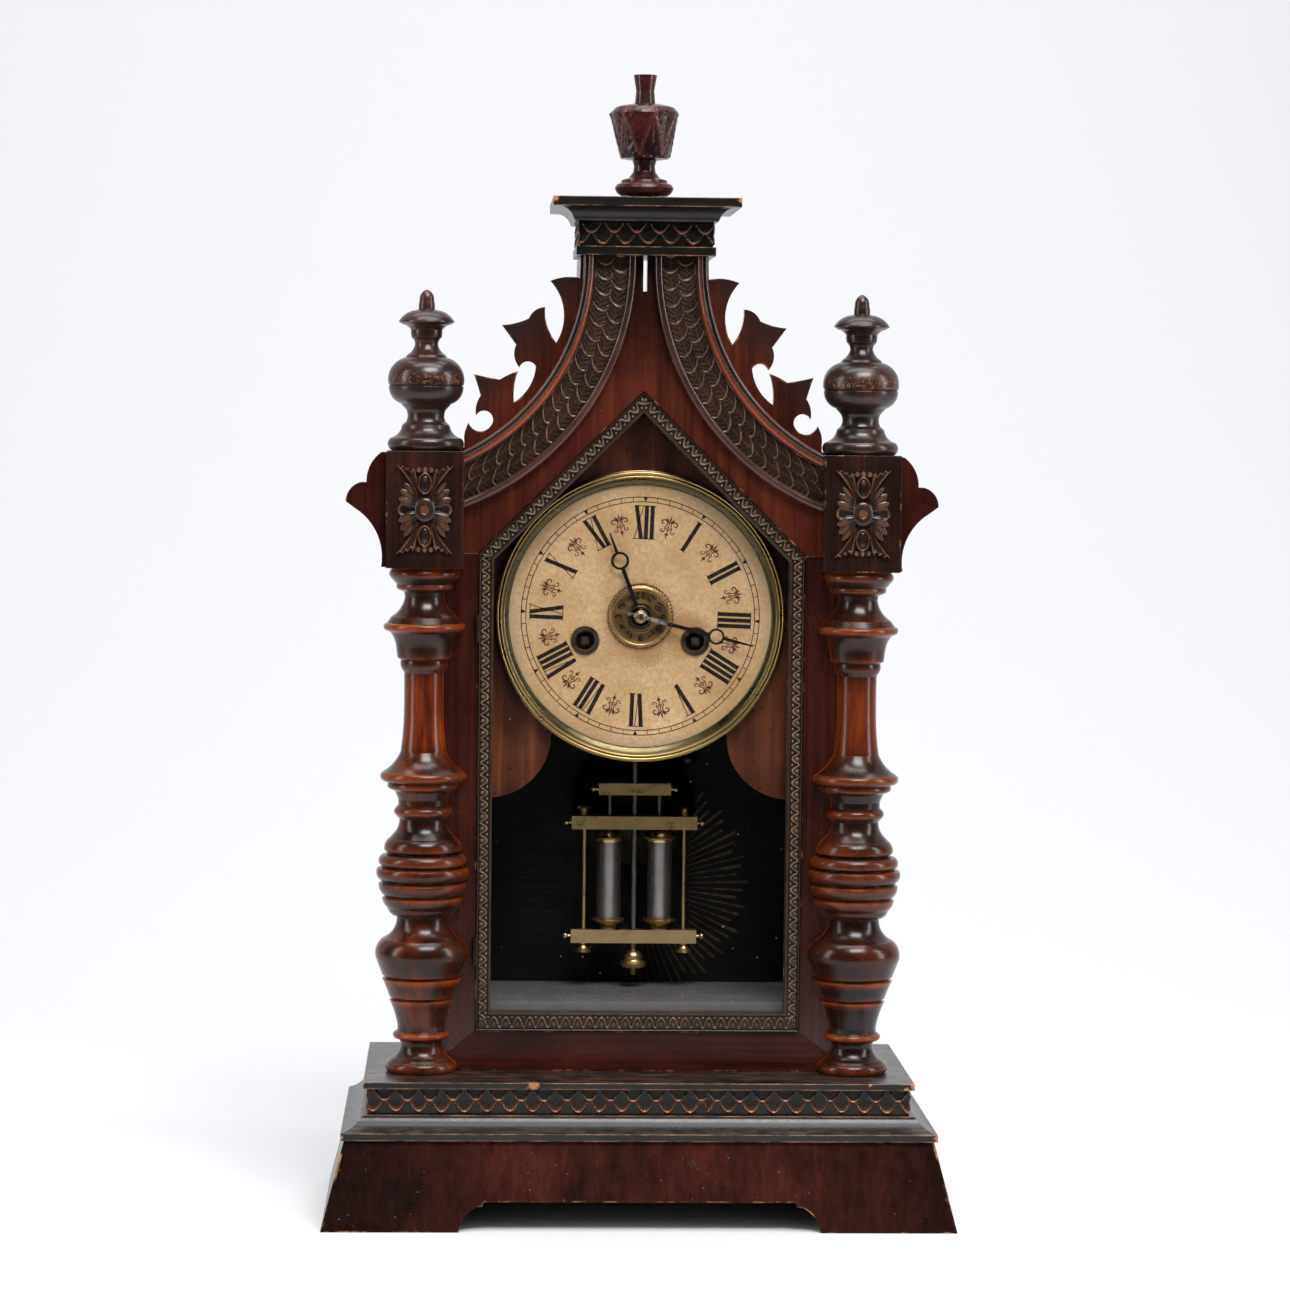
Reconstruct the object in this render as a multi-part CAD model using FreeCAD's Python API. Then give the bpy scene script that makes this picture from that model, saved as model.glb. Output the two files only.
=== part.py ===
import FreeCAD, Part
import math
import os

# Neo-Gothic wooden shelf clock with an alarm, glazed door and twin-jar pendulum.
# Millimetres. Origin: middle of the footprint, on the surface it stands on.
# +X is the viewer's right, +Y runs from the door to the back board, +Z is up.

# ---------------------------------------------------------------- driving dimensions
# plinth and base
PLINTH_HALF = 164.0
PLINTH_SPLAY = 11.5
PLINTH_H = 45.5
PLINTH_T = 12.0
BASE_BACK = 76.0
FOOT_LEN = 70.6
MOULD_HALF = 154.3
MOULD_TOP = 57.0
FRIEZE_HALF = 140.4
FRIEZE_TOP = 70.5
TOP_HALF = 143.1
TOP_Z = 73.9

# case box and front frame
CASE_HALF = 113.7
SIDE_T = 8.0
CASE_BACK = 70.0
FACE_Y = -16.0
FRAME_BACK = -6.0
DOOR_HALF = 85.0
DOOR_BOTTOM = 95.5
DOOR_APEX = 431.3
DOOR_GAP = 0.6
TRIM_W = 7.4
TRIM_BOTTOM_W = 9.4
TRIM_FRONT = -18.5
SASH_FRONT = -15.0
SASH_BACK = -7.0
GLASS_FRONT = -11.0
GLASS_BACK = -9.0
GLASS_LAP = 3.0

# gable: concentric arcs about one centre on each side
ARC_X = 142.5
ARC_Z = 499.0
R_EDGE = 110.5
R_SCALES_IN = 117.0
R_SCALES_OUT = 133.5
R_INNER = 137.5
GABLE_TOP = 502.4
SLIT_HALF = 1.0
SLIT_BOTTOM = 484.0

# corner columns, blocks and finials stand on the case's front corners
BLOCK_HALF = 20.0
BLOCK_BOTTOM = 339.0
BLOCK_TOP = 399.8
FINIAL_TOP = 483.5

# cap and urn
CAP_Y = 10.5
CAP_FILLET_HALF = 36.3
CAP_FRIEZE_HALF = 34.6
CAP_FRIEZE_BOTTOM = 507.0
CAP_FRIEZE_TOP = 520.1
CAP_PLATE_HALF = 48.7
CAP_PLATE_BOTTOM = 527.2
CAP_TOP = 532.0

# dial
DIAL_Z = 313.4
DIAL_R = 74.0
DIAL_T = 2.0
DIAL_VISIBLE_R = 69.5
BEZEL_R = 77.0
BEZEL_FRONT = -4.5
BOARD_Y = (2.0, 7.0)
WIND_X = 29.1
WIND_DROP = 13.0
WIND_HOLE_R = 5.2
GROMMET_R = 7.6
ALARM_DISC_R = 17.8
MINUTE_ANGLE = 104.2
HOUR_ANGLE = 339.2

# movement
FRONT_PLATE = (12.0, 13.5)
BACK_PLATE = (38.0, 39.5)
PLATE_HALF = 58.0
PLATE_LOW = -42.0
PLATE_HIGH = 42.0
PILLARS = ((-54.0, -37.0), (54.0, -37.0), (-54.0, 36.0), (54.0, 36.0))
RUN = 0.05
CENTRE_R = 1.2
CANNON_R = 1.9
PIPE_R = 2.6
WIND_R = 3.0
VERGE_RISE = 31.0
ESCAPE_RISE = 18.0
ESCAPE_TIP_R = 9.2
ESCAPE_TEETH = 32
PENDULUM_Y = 46.0

# gear pairs: teeth of the wheel, leaves of the pinion, module
GREAT = (72, 12)
CENTRE = (80, 8, 0.36)
THIRD = (80, 6, 0.30)
MOTION = (36, 12, 0.50)
HOUR = (40, 10, 0.48)
ALARM = (60, 8, 0.60)

# bell and hammer
BELL_Z = 208.0
BELL_R = 33.6
BELL_FRONT = 57.5
BELL_RIM = 66.5
HAMMER_R = 4.5


# ---------------------------------------------------------------- helpers
def v(x, y, z):
    return FreeCAD.Vector(x, y, z)


def save(name, *shapes):
    shape = shapes[0] if len(shapes) == 1 else Part.makeCompound(list(shapes))
    shape.exportStep("parts/" + name + ".step")


def box(x0, x1, y0, y1, z0, z1):
    return Part.makeBox(x1 - x0, y1 - y0, z1 - z0, v(x0, y0, z0))


def mirrored(shape):
    return shape.mirror(v(0, 0, 0), v(1, 0, 0))


def edges_of(path, place):
    """Edges of a closed outline. A point is (a, b), or (a, b, mid_a, mid_b) to reach it by an arc."""
    edges = []
    for i, point in enumerate(path):
        start = place(*path[i - 1][:2])
        end = place(*point[:2])
        if len(point) == 4:
            edges.append(Part.Arc(start, place(*point[2:]), end).toShape())
        else:
            edges.append(Part.LineSegment(start, end).toShape())
    return edges


def face(path, place):
    return Part.Face(Part.Wire(Part.__sortEdges__(edges_of(path, place))))


def board(path, y0, y1):
    """A flat piece: an outline in X and Z, with a thickness along Y."""
    return face(path, lambda x, z: v(x, y0, z)).extrude(v(0, y1 - y0, 0))


def bulged(profile):
    """Profile points (z, r) or (z, r, bulge), as outline points (r, z) whose arcs stand out by bulge."""
    path = []
    for i, point in enumerate(profile):
        z, r = point[:2]
        if len(point) == 2:
            path.append((r, z))
            continue
        z0, r0 = profile[i - 1][:2]
        length = math.hypot(z - z0, r - r0)
        mid_r = (r + r0) / 2 + point[2] * (z - z0) / length
        mid_z = (z + z0) / 2 - point[2] * (r - r0) / length
        path.append((r, z, mid_r, mid_z))
    return path


def turned(profile, x, y):
    """A lathe-turned piece about a vertical axis."""
    path = bulged(profile)
    if path[-1][0] > 0:
        path.append((0, path[-1][1]))
    path.append((0, path[0][1]))
    section = face(path, lambda r, z: v(x + r, y, z))
    return section.revolve(v(x, y, 0), v(0, 0, 1), 360)


def disc(x, z, r, y0, y1, bore=0.0):
    """A round piece about an axis along Y, with an optional bore."""
    solid = Part.makeCylinder(r, y1 - y0, v(x, y0, z), v(0, 1, 0))
    if bore:
        solid = solid.cut(Part.makeCylinder(bore, y1 - y0 + 2, v(x, y0 - 1, z), v(0, 1, 0)))
    return solid


def ring(path, x, z):
    """A piece turned about an axis along Y, from an outline in radius and Y."""
    section = face(path, lambda r, y: v(x + r, y, z))
    return section.revolve(v(x, 0, z), v(0, 1, 0), 360)


def upright(x, y, r, z0, z1, bore=0.0):
    solid = Part.makeCylinder(r, z1 - z0, v(x, y, z0))
    if bore:
        solid = solid.cut(Part.makeCylinder(bore, z1 - z0 + 2, v(x, y, z0 - 1)))
    return solid


def fused(*shapes):
    return shapes[0].fuse(list(shapes[1:])).removeSplitter()


def arc_x(radius, z):
    return ARC_X - math.sqrt(radius**2 - (z - ARC_Z)**2)


def arc_z(radius, x):
    return ARC_Z - math.sqrt(radius**2 - (x - ARC_X)**2)


def arc_to(radius, start, end):
    """End point of a gable arc, with the arc's own middle point."""
    a = math.atan2(start[1] - ARC_Z, start[0] - ARC_X)
    b = math.atan2(end[1] - ARC_Z, end[0] - ARC_X)
    a, b = a % (2 * math.pi), b % (2 * math.pi)
    mid = (a + b) / 2
    return (end[0], end[1], ARC_X + radius * math.cos(mid), ARC_Z + radius * math.sin(mid))


def both_sides(path):
    """A symmetric outline from its right half, listed from bottom centre to top centre."""
    left = []
    for i in range(len(path) - 1, -1, -1):
        nxt = path[i + 1] if i + 1 < len(path) else None
        point = (-path[i][0], path[i][1])
        if nxt is not None and len(nxt) == 4:
            point += (-nxt[2], nxt[3])
        left.append(point)
    return path + left


# ---------------------------------------------------------------- plinth and base
def plinth_board(low, high):
    wires = []
    for points, z in ((low, 0), (high, PLINTH_H)):
        corners = [v(x, y, z) for x, y in points]
        wires.append(Part.makePolygon(corners + corners[:1]))
    return Part.makeLoft(wires, True, True)


def foot_cut():
    """Low arch between the front feet: straight nick, hollow quarter round, small step."""
    x = PLINTH_HALF - FOOT_LEN
    right = [
        (x, -1),
        (x, 0),
        (x - 1.1, 3.8),
        (x - 9.7, 12.6, x - 4.6, 9.2),
        (x - 12.4, 12.8),
        (x - 13.0, 15.0),
    ]
    return board(both_sides(right), -BASE_BACK - 1, -BASE_BACK + 30)


def make_plinth():
    a, t, s = PLINTH_HALF, PLINTH_T, PLINTH_SPLAY
    f = -BASE_BACK
    low = [(-a, f), (a, f), (a - t, f + t), (t - a, f + t)]
    high = [(s - a, f + s), (a - s, f + s), (a - s - t, f + s + t), (s + t - a, f + s + t)]
    save("plinth_front", plinth_board(low, high).cut(foot_cut()))
    low = [(a, f), (a - t, f + t), (a - t, BASE_BACK), (a, BASE_BACK)]
    high = [(a - s, f + s), (a - s - t, f + s + t), (a - s - t, BASE_BACK), (a - s, BASE_BACK)]
    side = plinth_board(low, high)
    save("plinth_sides", side, mirrored(side))
    ends = [(t - a, 0), (a - t, 0), (a - t - s, PLINTH_H), (s + t - a, PLINTH_H)]
    save("plinth_back", board(ends, BASE_BACK - t, BASE_BACK))


def edged_board(profile, front):
    """A board whose moulded edge runs round the front and both sides, mitred at the corners."""
    across = board(both_sides(profile), -200, 200)
    setback = profile[0][0] + front
    side = [(point[0] - setback, *point[1:]) for point in profile]
    side = [(p[0], p[1], p[2] - setback, p[3]) if len(p) == 4 else p for p in side]
    path = [(-BASE_BACK, profile[0][1])] + side + [(-BASE_BACK, profile[-1][1])]
    along = face(path, lambda y, z: v(-200, -y, z)).extrude(v(400, 0, 0))
    return across.common(along)


def make_base():
    z = PLINTH_H
    moulding = [
        (MOULD_HALF, z),
        (MOULD_HALF, z + 3.7),
        (MOULD_HALF - 9.6, z + 10.2, MOULD_HALF - 5.8, z + 6.0),
        (MOULD_HALF - 10.7, z + 10.2),
        (MOULD_HALF - 10.7, MOULD_TOP),
    ]
    inset = PLINTH_HALF - BASE_BACK
    save("base_moulding", edged_board(moulding, inset - MOULD_HALF))
    front = inset - FRIEZE_HALF
    save("base_frieze", box(-FRIEZE_HALF, FRIEZE_HALF, front, BASE_BACK, MOULD_TOP, FRIEZE_TOP))
    front = inset - TOP_HALF
    save("base_top", box(-TOP_HALF, TOP_HALF, front, BASE_BACK, FRIEZE_TOP, TOP_Z))


# ---------------------------------------------------------------- case box
def make_case():
    wall_top = arc_z(R_EDGE, CASE_HALF)
    side = box(CASE_HALF - SIDE_T, CASE_HALF, FRAME_BACK, CASE_BACK, TOP_Z, wall_top)
    save("case_sides", side, mirrored(side))

    low = (CASE_HALF, arc_z(R_EDGE, CASE_HALF))
    high = (arc_x(R_EDGE, GABLE_TOP), GABLE_TOP)
    outer = R_EDGE - 1.6
    out_high = (arc_x(outer, GABLE_TOP), GABLE_TOP)
    out_low = (CASE_HALF, arc_z(outer, CASE_HALF))
    path = [low, arc_to(R_EDGE, low, high), out_high, arc_to(outer, out_high, out_low)]
    roof = board(path, FRAME_BACK, CASE_BACK)
    save("roof_sheets", roof, mirrored(roof))

    top = (arc_x(R_EDGE, 480.0), 480.0)
    half = [(CASE_HALF, TOP_Z), low, arc_to(R_EDGE, low, top)]
    save("back_board", board(both_sides(half), CASE_BACK, BASE_BACK))
    card = box(-104, 104, CASE_BACK - 1, CASE_BACK, TOP_Z, 245)
    save("backdrop_card", card.cut(disc(0, BELL_Z, 2.5, CASE_BACK - 2, CASE_BACK + 1)))


def pentagon(inset, bottom_inset):
    """House-shaped outline of the door, set in by a uniform width (wider at the bottom)."""
    half = DOOR_HALF - inset
    apex = DOOR_APEX - inset * math.sqrt(2)
    shoulder = apex - half
    bottom = DOOR_BOTTOM + bottom_inset
    return [(half, bottom), (half, shoulder), (0, apex), (-half, shoulder), (-half, bottom)]


def make_front_frame():
    hole = DOOR_HALF + DOOR_GAP
    sill = DOOR_BOTTOM - DOOR_GAP
    apex = DOOR_APEX + DOOR_GAP * math.sqrt(2)
    shoulder = apex - hole
    stile = [(CASE_HALF, TOP_Z), (CASE_HALF, shoulder), (hole, shoulder), (hole, sill)]
    right = board(stile, FACE_Y, FRAME_BACK)
    left = mirrored(right).cut(pockets(HINGE_X + 0.3, HINGE_X + 1.2, FACE_Y - 1))
    save("frame_stiles", right, left)
    rail = [(-CASE_HALF, TOP_Z), (CASE_HALF, TOP_Z), (hole, sill), (-hole, sill)]
    save("bottom_rail", board(rail, FACE_Y, FRAME_BACK))

    joint_in = (15.5, apex - 15.5)
    joint_out = (49.2, arc_z(R_EDGE, 49.2))
    corner = (CASE_HALF, arc_z(R_EDGE, CASE_HALF))
    lower = [(CASE_HALF, shoulder), corner, arc_to(R_EDGE, corner, joint_out), joint_in, (hole, shoulder)]
    gable = board(lower, FACE_Y, FRAME_BACK)
    save("gable_boards", gable, mirrored(gable))
    top = (arc_x(R_EDGE, GABLE_TOP), GABLE_TOP)
    half = [(0, apex), joint_in, joint_out, arc_to(R_EDGE, joint_out, top)]
    half += [(SLIT_HALF, GABLE_TOP), (SLIT_HALF, SLIT_BOTTOM)]
    save("gable_apex", board(both_sides(half)[:-1], FACE_Y, FRAME_BACK))


def gable_sweep(path):
    """Moulding bent round the gable arc, trimmed at the corner block and under the cap."""
    section = face(path, lambda r, y: v(ARC_X - r, y, ARC_Z))
    axis = v(0, -1, 0)
    bent = section.revolve(v(ARC_X, 0, ARC_Z), axis, 75)
    start = section.revolve(v(ARC_X, 0, ARC_Z), axis, -5)
    keep = box(0, CASE_HALF - BLOCK_HALF, -60, 0, 300, GABLE_TOP)
    return bent.fuse(start).removeSplitter().common(keep)


def make_gable_trim():
    base = FACE_Y - 2.0
    profile = [
        (R_EDGE, FACE_Y),
        (R_EDGE, -20.5),
        (R_EDGE + 3.2, -21.8, R_EDGE + 1.2, -23.0),
        (R_SCALES_IN, -19.2, R_EDGE + 4.6, -19.6),
        (R_SCALES_IN, base),
        (R_SCALES_OUT, base),
        (R_SCALES_OUT, -19.4),
        (R_INNER, -17.6, R_SCALES_OUT + 2.2, -21.2),
        (R_INNER, FACE_Y),
    ]
    trim = gable_sweep(profile)
    save("gable_mouldings", trim, mirrored(trim))
    front = base - 1.0
    band = [(R_SCALES_IN, base), (R_SCALES_IN, front), (R_SCALES_OUT, front), (R_SCALES_OUT, base)]
    scales = gable_sweep(band)
    save("gable_scales", scales, mirrored(scales))


def make_crockets():
    """Fretted leaves standing on the gable's edge."""
    root = (arc_x(R_EDGE, 490.3), 490.3)
    foot = (93.7, arc_z(R_EDGE, 93.7))
    outline = [
        arc_to(R_EDGE, foot, root),
        (49.4, 489.0, 42.9, 490.9),
        (46.1, 456.8, 42.2, 472.3),
        (52.1, 475.3, 50.9, 465.5),
        (60.5, 469.3, 57.2, 473.6),
        (74.5, 465.7, 67.3, 466.8),
        (67.0, 455.6),
        (65.2, 443.7, 67.9, 449.5),
        (56.6, 444.3, 60.6, 446.9),
        (67.9, 425.5, 59.8, 434.0),
        (65.9, 441.8, 67.9, 433.4),
        (75.3, 437.3, 70.2, 440.2),
        (88.9, 440.0, 81.8, 438.4),
        (85.3, 428.8, 86.8, 433.8),
        (87.7, 418.3, 87.6, 423.6),
        (79.7, 413.4, 80.9, 420.2),
        (91.5, 414.6, 85.4, 410.2),
        (93.7, 405.0, 93.4, 410.0),
        foot,
    ]
    leaves = board(outline, FACE_Y + 2, FRAME_BACK - 2)
    save("crockets", leaves, mirrored(leaves))


# ---------------------------------------------------------------- corner columns
COLUMN = [
    (73.9, 17.6),
    (79.5, 17.0, 1.5),
    (80.8, 15.6),
    (90.4, 11.4, -2.0),
    (91.6, 14.2),
    (94.4, 14.2, 0.8),
    (95.6, 12.6),
    (98.0, 12.6),
    (111.6, 16.9, -0.5),
    (112.6, 15.2),
    (113.5, 17.0),
    (122.8, 20.8, -0.2),
    (123.8, 18.8),
    (125.0, 20.9),
    (133.9, 24.3),
    (144.0, 20.8, 1.6),
    (155.6, 13.4, -2.2),
    (156.4, 15.6),
    (159.8, 18.2, 0.4),
    (160.4, 18.6),
    (165.4, 21.2, 0.5),
    (166.5, 19.6),
    (167.6, 21.2),
    (173.0, 23.0, 0.6),
    (174.0, 21.2),
    (175.4, 22.8),
    (181.0, 23.8, 1.0),
    (182.2, 21.0),
    (183.4, 22.8),
    (188.0, 21.6, 0.8),
    (189.2, 18.2),
    (190.6, 20.2),
    (197.0, 17.4, 1.0),
    (199.0, 15.6),
    (207.0, 12.4, -0.9),
    (209.0, 14.2),
    (212.6, 14.6, 0.8),
    (214.4, 13.0),
    (217.4, 13.0),
    (221.6, 14.8),
    (223.2, 18.2),
    (225.8, 18.4, 0.5),
    (226.8, 20.2),
    (231.6, 21.4, 1.7),
    (242.4, 12.0, -1.2),
    (262.0, 10.4, -0.3),
    (283.8, 10.4, -0.1),
    (286.0, 11.8),
    (290.4, 12.2, 0.4),
    (291.6, 14.0),
    (297.4, 14.7),
    (304.6, 17.6, -0.5),
    (305.8, 19.4),
    (309.8, 19.6, 1.9),
    (313.0, 17.4),
    (323.4, 10.3, -1.4),
    (326.0, 10.7),
    (327.4, 14.0),
    (330.0, 14.6, 0.5),
    (333.6, 17.8),
    (337.6, 17.8, 0.8),
    (339.0, 17.0),
]

FINIAL = [
    (399.8, 17.6),
    (406.4, 18.4, 1.9),
    (411.3, 12.9, -0.9),
    (413.2, 12.3),
    (414.8, 10.5),
    (421.3, 10.5, -0.9),
    (424.2, 13.2),
    (433.2, 19.5, 1.8),
    (433.7, 18.9),
    (434.2, 19.6),
    (448.2, 11.0, 3.4),
    (449.6, 10.0),
    (455.0, 6.0, -0.7),
    (458.6, 7.8, -0.5),
    (462.6, 8.2, 0.2),
    (465.4, 12.4, -0.5),
    (466.6, 14.5),
    (467.4, 14.3),
    (472.9, 5.6, 1.2),
    (473.3, 4.2),
    (478.0, 3.8, 0.2),
    (FINIAL_TOP, 0.5, 1.1),
]

URN = [
    (CAP_TOP, 8.4),
    (534.8, 8.0),
    (535.0, 12.4),
    (537.2, 14.9),
    (540.8, 14.6, 1.7),
    (541.8, 12.4),
    (543.2, 12.0),
    (544.4, 8.2),
    (553.6, 6.4, -1.9),
    (554.4, 12.6),
    (556.4, 13.6),
    (576.0, 17.7, -0.5),
    (579.2, 17.6, 0.7),
    (582.0, 13.6, 0.6),
    (583.4, 5.4, -0.8),
    (598.3, 6.2, -1.0),
]


def behind_corner():
    """The quarter behind each front corner, which the case fills."""
    return box(0, CASE_HALF, FACE_Y, FACE_Y + 100, 0, 420)


def make_columns():
    column = turned(COLUMN, CASE_HALF, FACE_Y).cut(behind_corner())
    save("column_right", column)
    save("column_left", mirrored(column))
    x0, x1 = CASE_HALF - BLOCK_HALF, CASE_HALF + BLOCK_HALF
    y0, y1 = FACE_Y - BLOCK_HALF, FACE_Y + BLOCK_HALF
    block = box(x0, x1, y0, y1, BLOCK_BOTTOM, BLOCK_TOP).cut(behind_corner())
    save("corner_blocks", block, mirrored(block))
    rosette = box(CASE_HALF - 14.5, CASE_HALF + 14.5, y0 - 3.0, y0, 346.4, 392.4)
    save("rosettes", rosette, mirrored(rosette))
    finial = turned(FINIAL, CASE_HALF, FACE_Y)
    save("side_finials", finial, mirrored(finial))
    wing = [
        (x1, BLOCK_BOTTOM),
        (x1 + 2.8, BLOCK_BOTTOM),
        (x1 + 16.5, 369.5, x1 + 5.8, 358.0),
        (x1 + 21.3, 373.0),
        (x1 + 13.5, 383.2, x1 + 19.2, 379.5),
        (x1 + 10.7, 383.2),
        (x1 + 3.0, 398.9, x1 + 8.6, 392.4),
        (x1, 399.0),
    ]
    fret = board(wing, FACE_Y - 4, FACE_Y + 4)
    save("block_wings", fret, mirrored(fret))


# ---------------------------------------------------------------- cap
def cap_square(profile):
    """A square, mitred block with the same moulded edge on all four sides."""
    across = board(both_sides(profile), -100, 200)
    along = across.copy()
    along.rotate(v(0, 0, 0), v(0, 0, 1), 90)
    along.translate(v(-50, CAP_Y, 0))
    return across.common(along)


def make_cap():
    save("cap_fillet", cap_square([(CAP_FILLET_HALF, GABLE_TOP), (CAP_FILLET_HALF, CAP_FRIEZE_BOTTOM)]))
    save("cap_frieze", cap_square([(CAP_FRIEZE_HALF, CAP_FRIEZE_BOTTOM), (CAP_FRIEZE_HALF, CAP_FRIEZE_TOP)]))
    profile = [
        (37.2, CAP_FRIEZE_TOP),
        (37.8, CAP_FRIEZE_TOP + 0.8),
        (46.2, CAP_PLATE_BOTTOM, 39.9, CAP_PLATE_BOTTOM - 2.6),
        (CAP_PLATE_HALF, CAP_PLATE_BOTTOM),
        (CAP_PLATE_HALF, CAP_TOP),
    ]
    save("cap_plate", cap_square(profile))
    save("urn_finial", turned(URN, 0, CAP_Y))


# ---------------------------------------------------------------- door
HINGE_X = -(DOOR_HALF + 1.4)
HINGE_Y = -18.0
HINGE_R = 1.2
HINGE_PIN_R = 0.6
HINGE_H = 14.0
HINGE_BOTTOMS = (130.0, 300.0)
LEAF_BACK = -9.5


def fixed_leaf(z):
    return box(HINGE_X + 0.3, HINGE_X + 0.7, -16.4, LEAF_BACK, z, z + HINGE_H)


def door_leaf(z):
    return box(HINGE_X + 1.05, HINGE_X + 1.45, -16.4, LEAF_BACK, z, z + HINGE_H)


def pockets(x0, x1, front):
    """Recesses for the hinge leaves, one at each hinge."""
    return Part.makeCompound([box(x0, x1, front, LEAF_BACK, z, z + HINGE_H) for z in HINGE_BOTTOMS])


def fixed_hinge(z):
    third = HINGE_H / 3
    parts = [fixed_leaf(z), upright(HINGE_X, HINGE_Y, HINGE_PIN_R, z, z + HINGE_H)]
    for low in (z, z + 2 * third):
        parts.append(upright(HINGE_X, HINGE_Y, HINGE_R, low, low + third))
        parts.append(box(HINGE_X + 0.3, HINGE_X + 0.7, HINGE_Y, -16.3, low, low + third))
    return fused(*parts)


def moving_hinge(z):
    low, high = z + HINGE_H / 3 + 0.15, z + 2 * HINGE_H / 3 - 0.15
    bridge = box(HINGE_X + 0.8, HINGE_X + 1.45, HINGE_Y - 0.6, -16.3, low, high)
    knuckle = upright(HINGE_X, HINGE_Y, HINGE_R, low, high)
    whole = fused(door_leaf(z), knuckle, bridge)
    return whole.cut(upright(HINGE_X, HINGE_Y, HINGE_PIN_R + RUN, low - 1, high + 1))


def make_door():
    outline = pentagon(0, 0)
    sight = pentagon(TRIM_W, TRIM_BOTTOM_W)
    rebate = pentagon(TRIM_W - GLASS_LAP, TRIM_BOTTOM_W - GLASS_LAP)
    glass = pentagon(TRIM_W - GLASS_LAP + 0.2, TRIM_BOTTOM_W - GLASS_LAP + 0.2)
    recess = pockets(HINGE_X, HINGE_X + 1.45, TRIM_FRONT - 1)
    sash = board(outline, SASH_FRONT, SASH_BACK)
    sash = sash.cut(board(sight, SASH_FRONT - 1, GLASS_FRONT + 0.5))
    sash = sash.cut(board(rebate, GLASS_FRONT, SASH_BACK + 1))
    save("door_frame", sash.cut(recess))
    trim = board(outline, TRIM_FRONT, SASH_FRONT).cut(board(sight, TRIM_FRONT - 1, SASH_FRONT + 1))
    save("door_trim", trim.cut(recess))
    save("door_glass", board(glass, GLASS_FRONT, GLASS_BACK))
    beads = board(rebate, GLASS_BACK, SASH_BACK).cut(board(sight, GLASS_BACK - 1, SASH_BACK + 1))
    save("glass_beads", beads)
    save("hinge_case_leaves", *[fixed_hinge(z) for z in HINGE_BOTTOMS])
    save("hinge_door_leaves", *[moving_hinge(z) for z in HINGE_BOTTOMS])


# ---------------------------------------------------------------- dial
def make_dial():
    lobe_r = 33.5
    lobe_x = 80.0
    low = 250.0 - lobe_r
    wall = CASE_HALF - SIDE_T
    top = (arc_x(R_EDGE + 1.5, 440.0), 440.0)
    shoulder = (wall, arc_z(R_EDGE + 1.5, wall))
    diag = lobe_r * math.sqrt(0.5)
    half = [
        (lobe_x - lobe_r, 255.0),
        (lobe_x - lobe_r, 250.0),
        (lobe_x, low, lobe_x - diag, 250.0 - diag),
        (wall, low),
        shoulder,
        arc_to(R_EDGE + 1.5, shoulder, top),
    ]
    blank = board(both_sides(half), *BOARD_Y)
    save("dial_board", blank.cut(disc(0, DIAL_Z, 48.0, 0, 10)))

    plate = disc(0, DIAL_Z, DIAL_R, 0, DIAL_T, PIPE_R + 0.8)
    for side in (-1, 1):
        plate = plate.cut(disc(side * WIND_X, DIAL_Z - WIND_DROP, WIND_HOLE_R, -1, 3))
    save("dial_plate", plate)
    profile = [
        (DIAL_R + 0.2, DIAL_T),
        (DIAL_R + 0.2, -0.1),
        (DIAL_VISIBLE_R, -0.1),
        (DIAL_VISIBLE_R, -0.8),
        (72.2, -3.4, 71.5, -1.4),
        (75.8, -3.6, 74.0, BEZEL_FRONT),
        (BEZEL_R, -1.6, 76.7, -2.9),
        (BEZEL_R, DIAL_T),
    ]
    save("dial_bezel", ring(profile, 0, DIAL_Z))
    collars = [disc(s * WIND_X, DIAL_Z - WIND_DROP, GROMMET_R, -0.8, 0, WIND_HOLE_R) for s in (-1, 1)]
    save("winding_grommets", *collars)


def hand(reach, eye, eye_r, eye_hole, boss_r, tail, y0, y1, angle, bore):
    """A slim hand with an open ring, drawn at twelve o'clock and turned clockwise."""
    z = DIAL_Z
    right = [(0.9, z - tail), (1.1, z + eye), (0.35, z + reach)]
    blade = right + [(-x, height) for x, height in reversed(right)]
    solid = board(blade, y0, y1).fuse(disc(0, z + eye, eye_r, y0, y1))
    solid = solid.cut(disc(0, z + eye, eye_hole, y0 - 1, y1 + 1))
    solid = solid.fuse(disc(0, z, boss_r, y0, y1)).cut(disc(0, z, bore, y0 - 1, y1 + 1))
    solid.rotate(v(0, 0, z), v(0, 1, 0), angle)
    return solid


# ---------------------------------------------------------------- gears
def gear(teeth, module, x, z, y0, y1, phase, width=0.42, addendum=0.8, dedendum=1.15):
    """A spur wheel about an axis along Y. Phase is the angle of one tooth's centre, from +X to +Z."""
    pitch_r = teeth * module / 2
    tip, root = pitch_r + addendum * module, pitch_r - dedendum * module
    step = 2 * math.pi / teeth
    corners = []
    for i in range(teeth):
        for r, offset in ((root, -0.62), (tip, -0.26), (tip, 0.26), (root, 0.62)):
            angle = phase + step * (i + offset * width)
            corners.append((x + r * math.cos(angle), z + r * math.sin(angle)))
    return board(corners, y0, y1)


def bearing(a, b):
    return math.atan2(b[1] - a[1], b[0] - a[0])


def meeting(a, ra, b, rb, side):
    """The point at distance ra from a and rb from b."""
    d = math.dist(a, b)
    along = (ra**2 - rb**2 + d**2) / (2 * d)
    off = side * math.sqrt(ra**2 - along**2)
    ux, uz = (b[0] - a[0]) / d, (b[1] - a[1]) / d
    return (a[0] + ux * along + uz * off, a[1] + uz * along - ux * off)


def spacing(pair):
    return (pair[0] + pair[1]) / 2 * pair[2]


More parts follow.
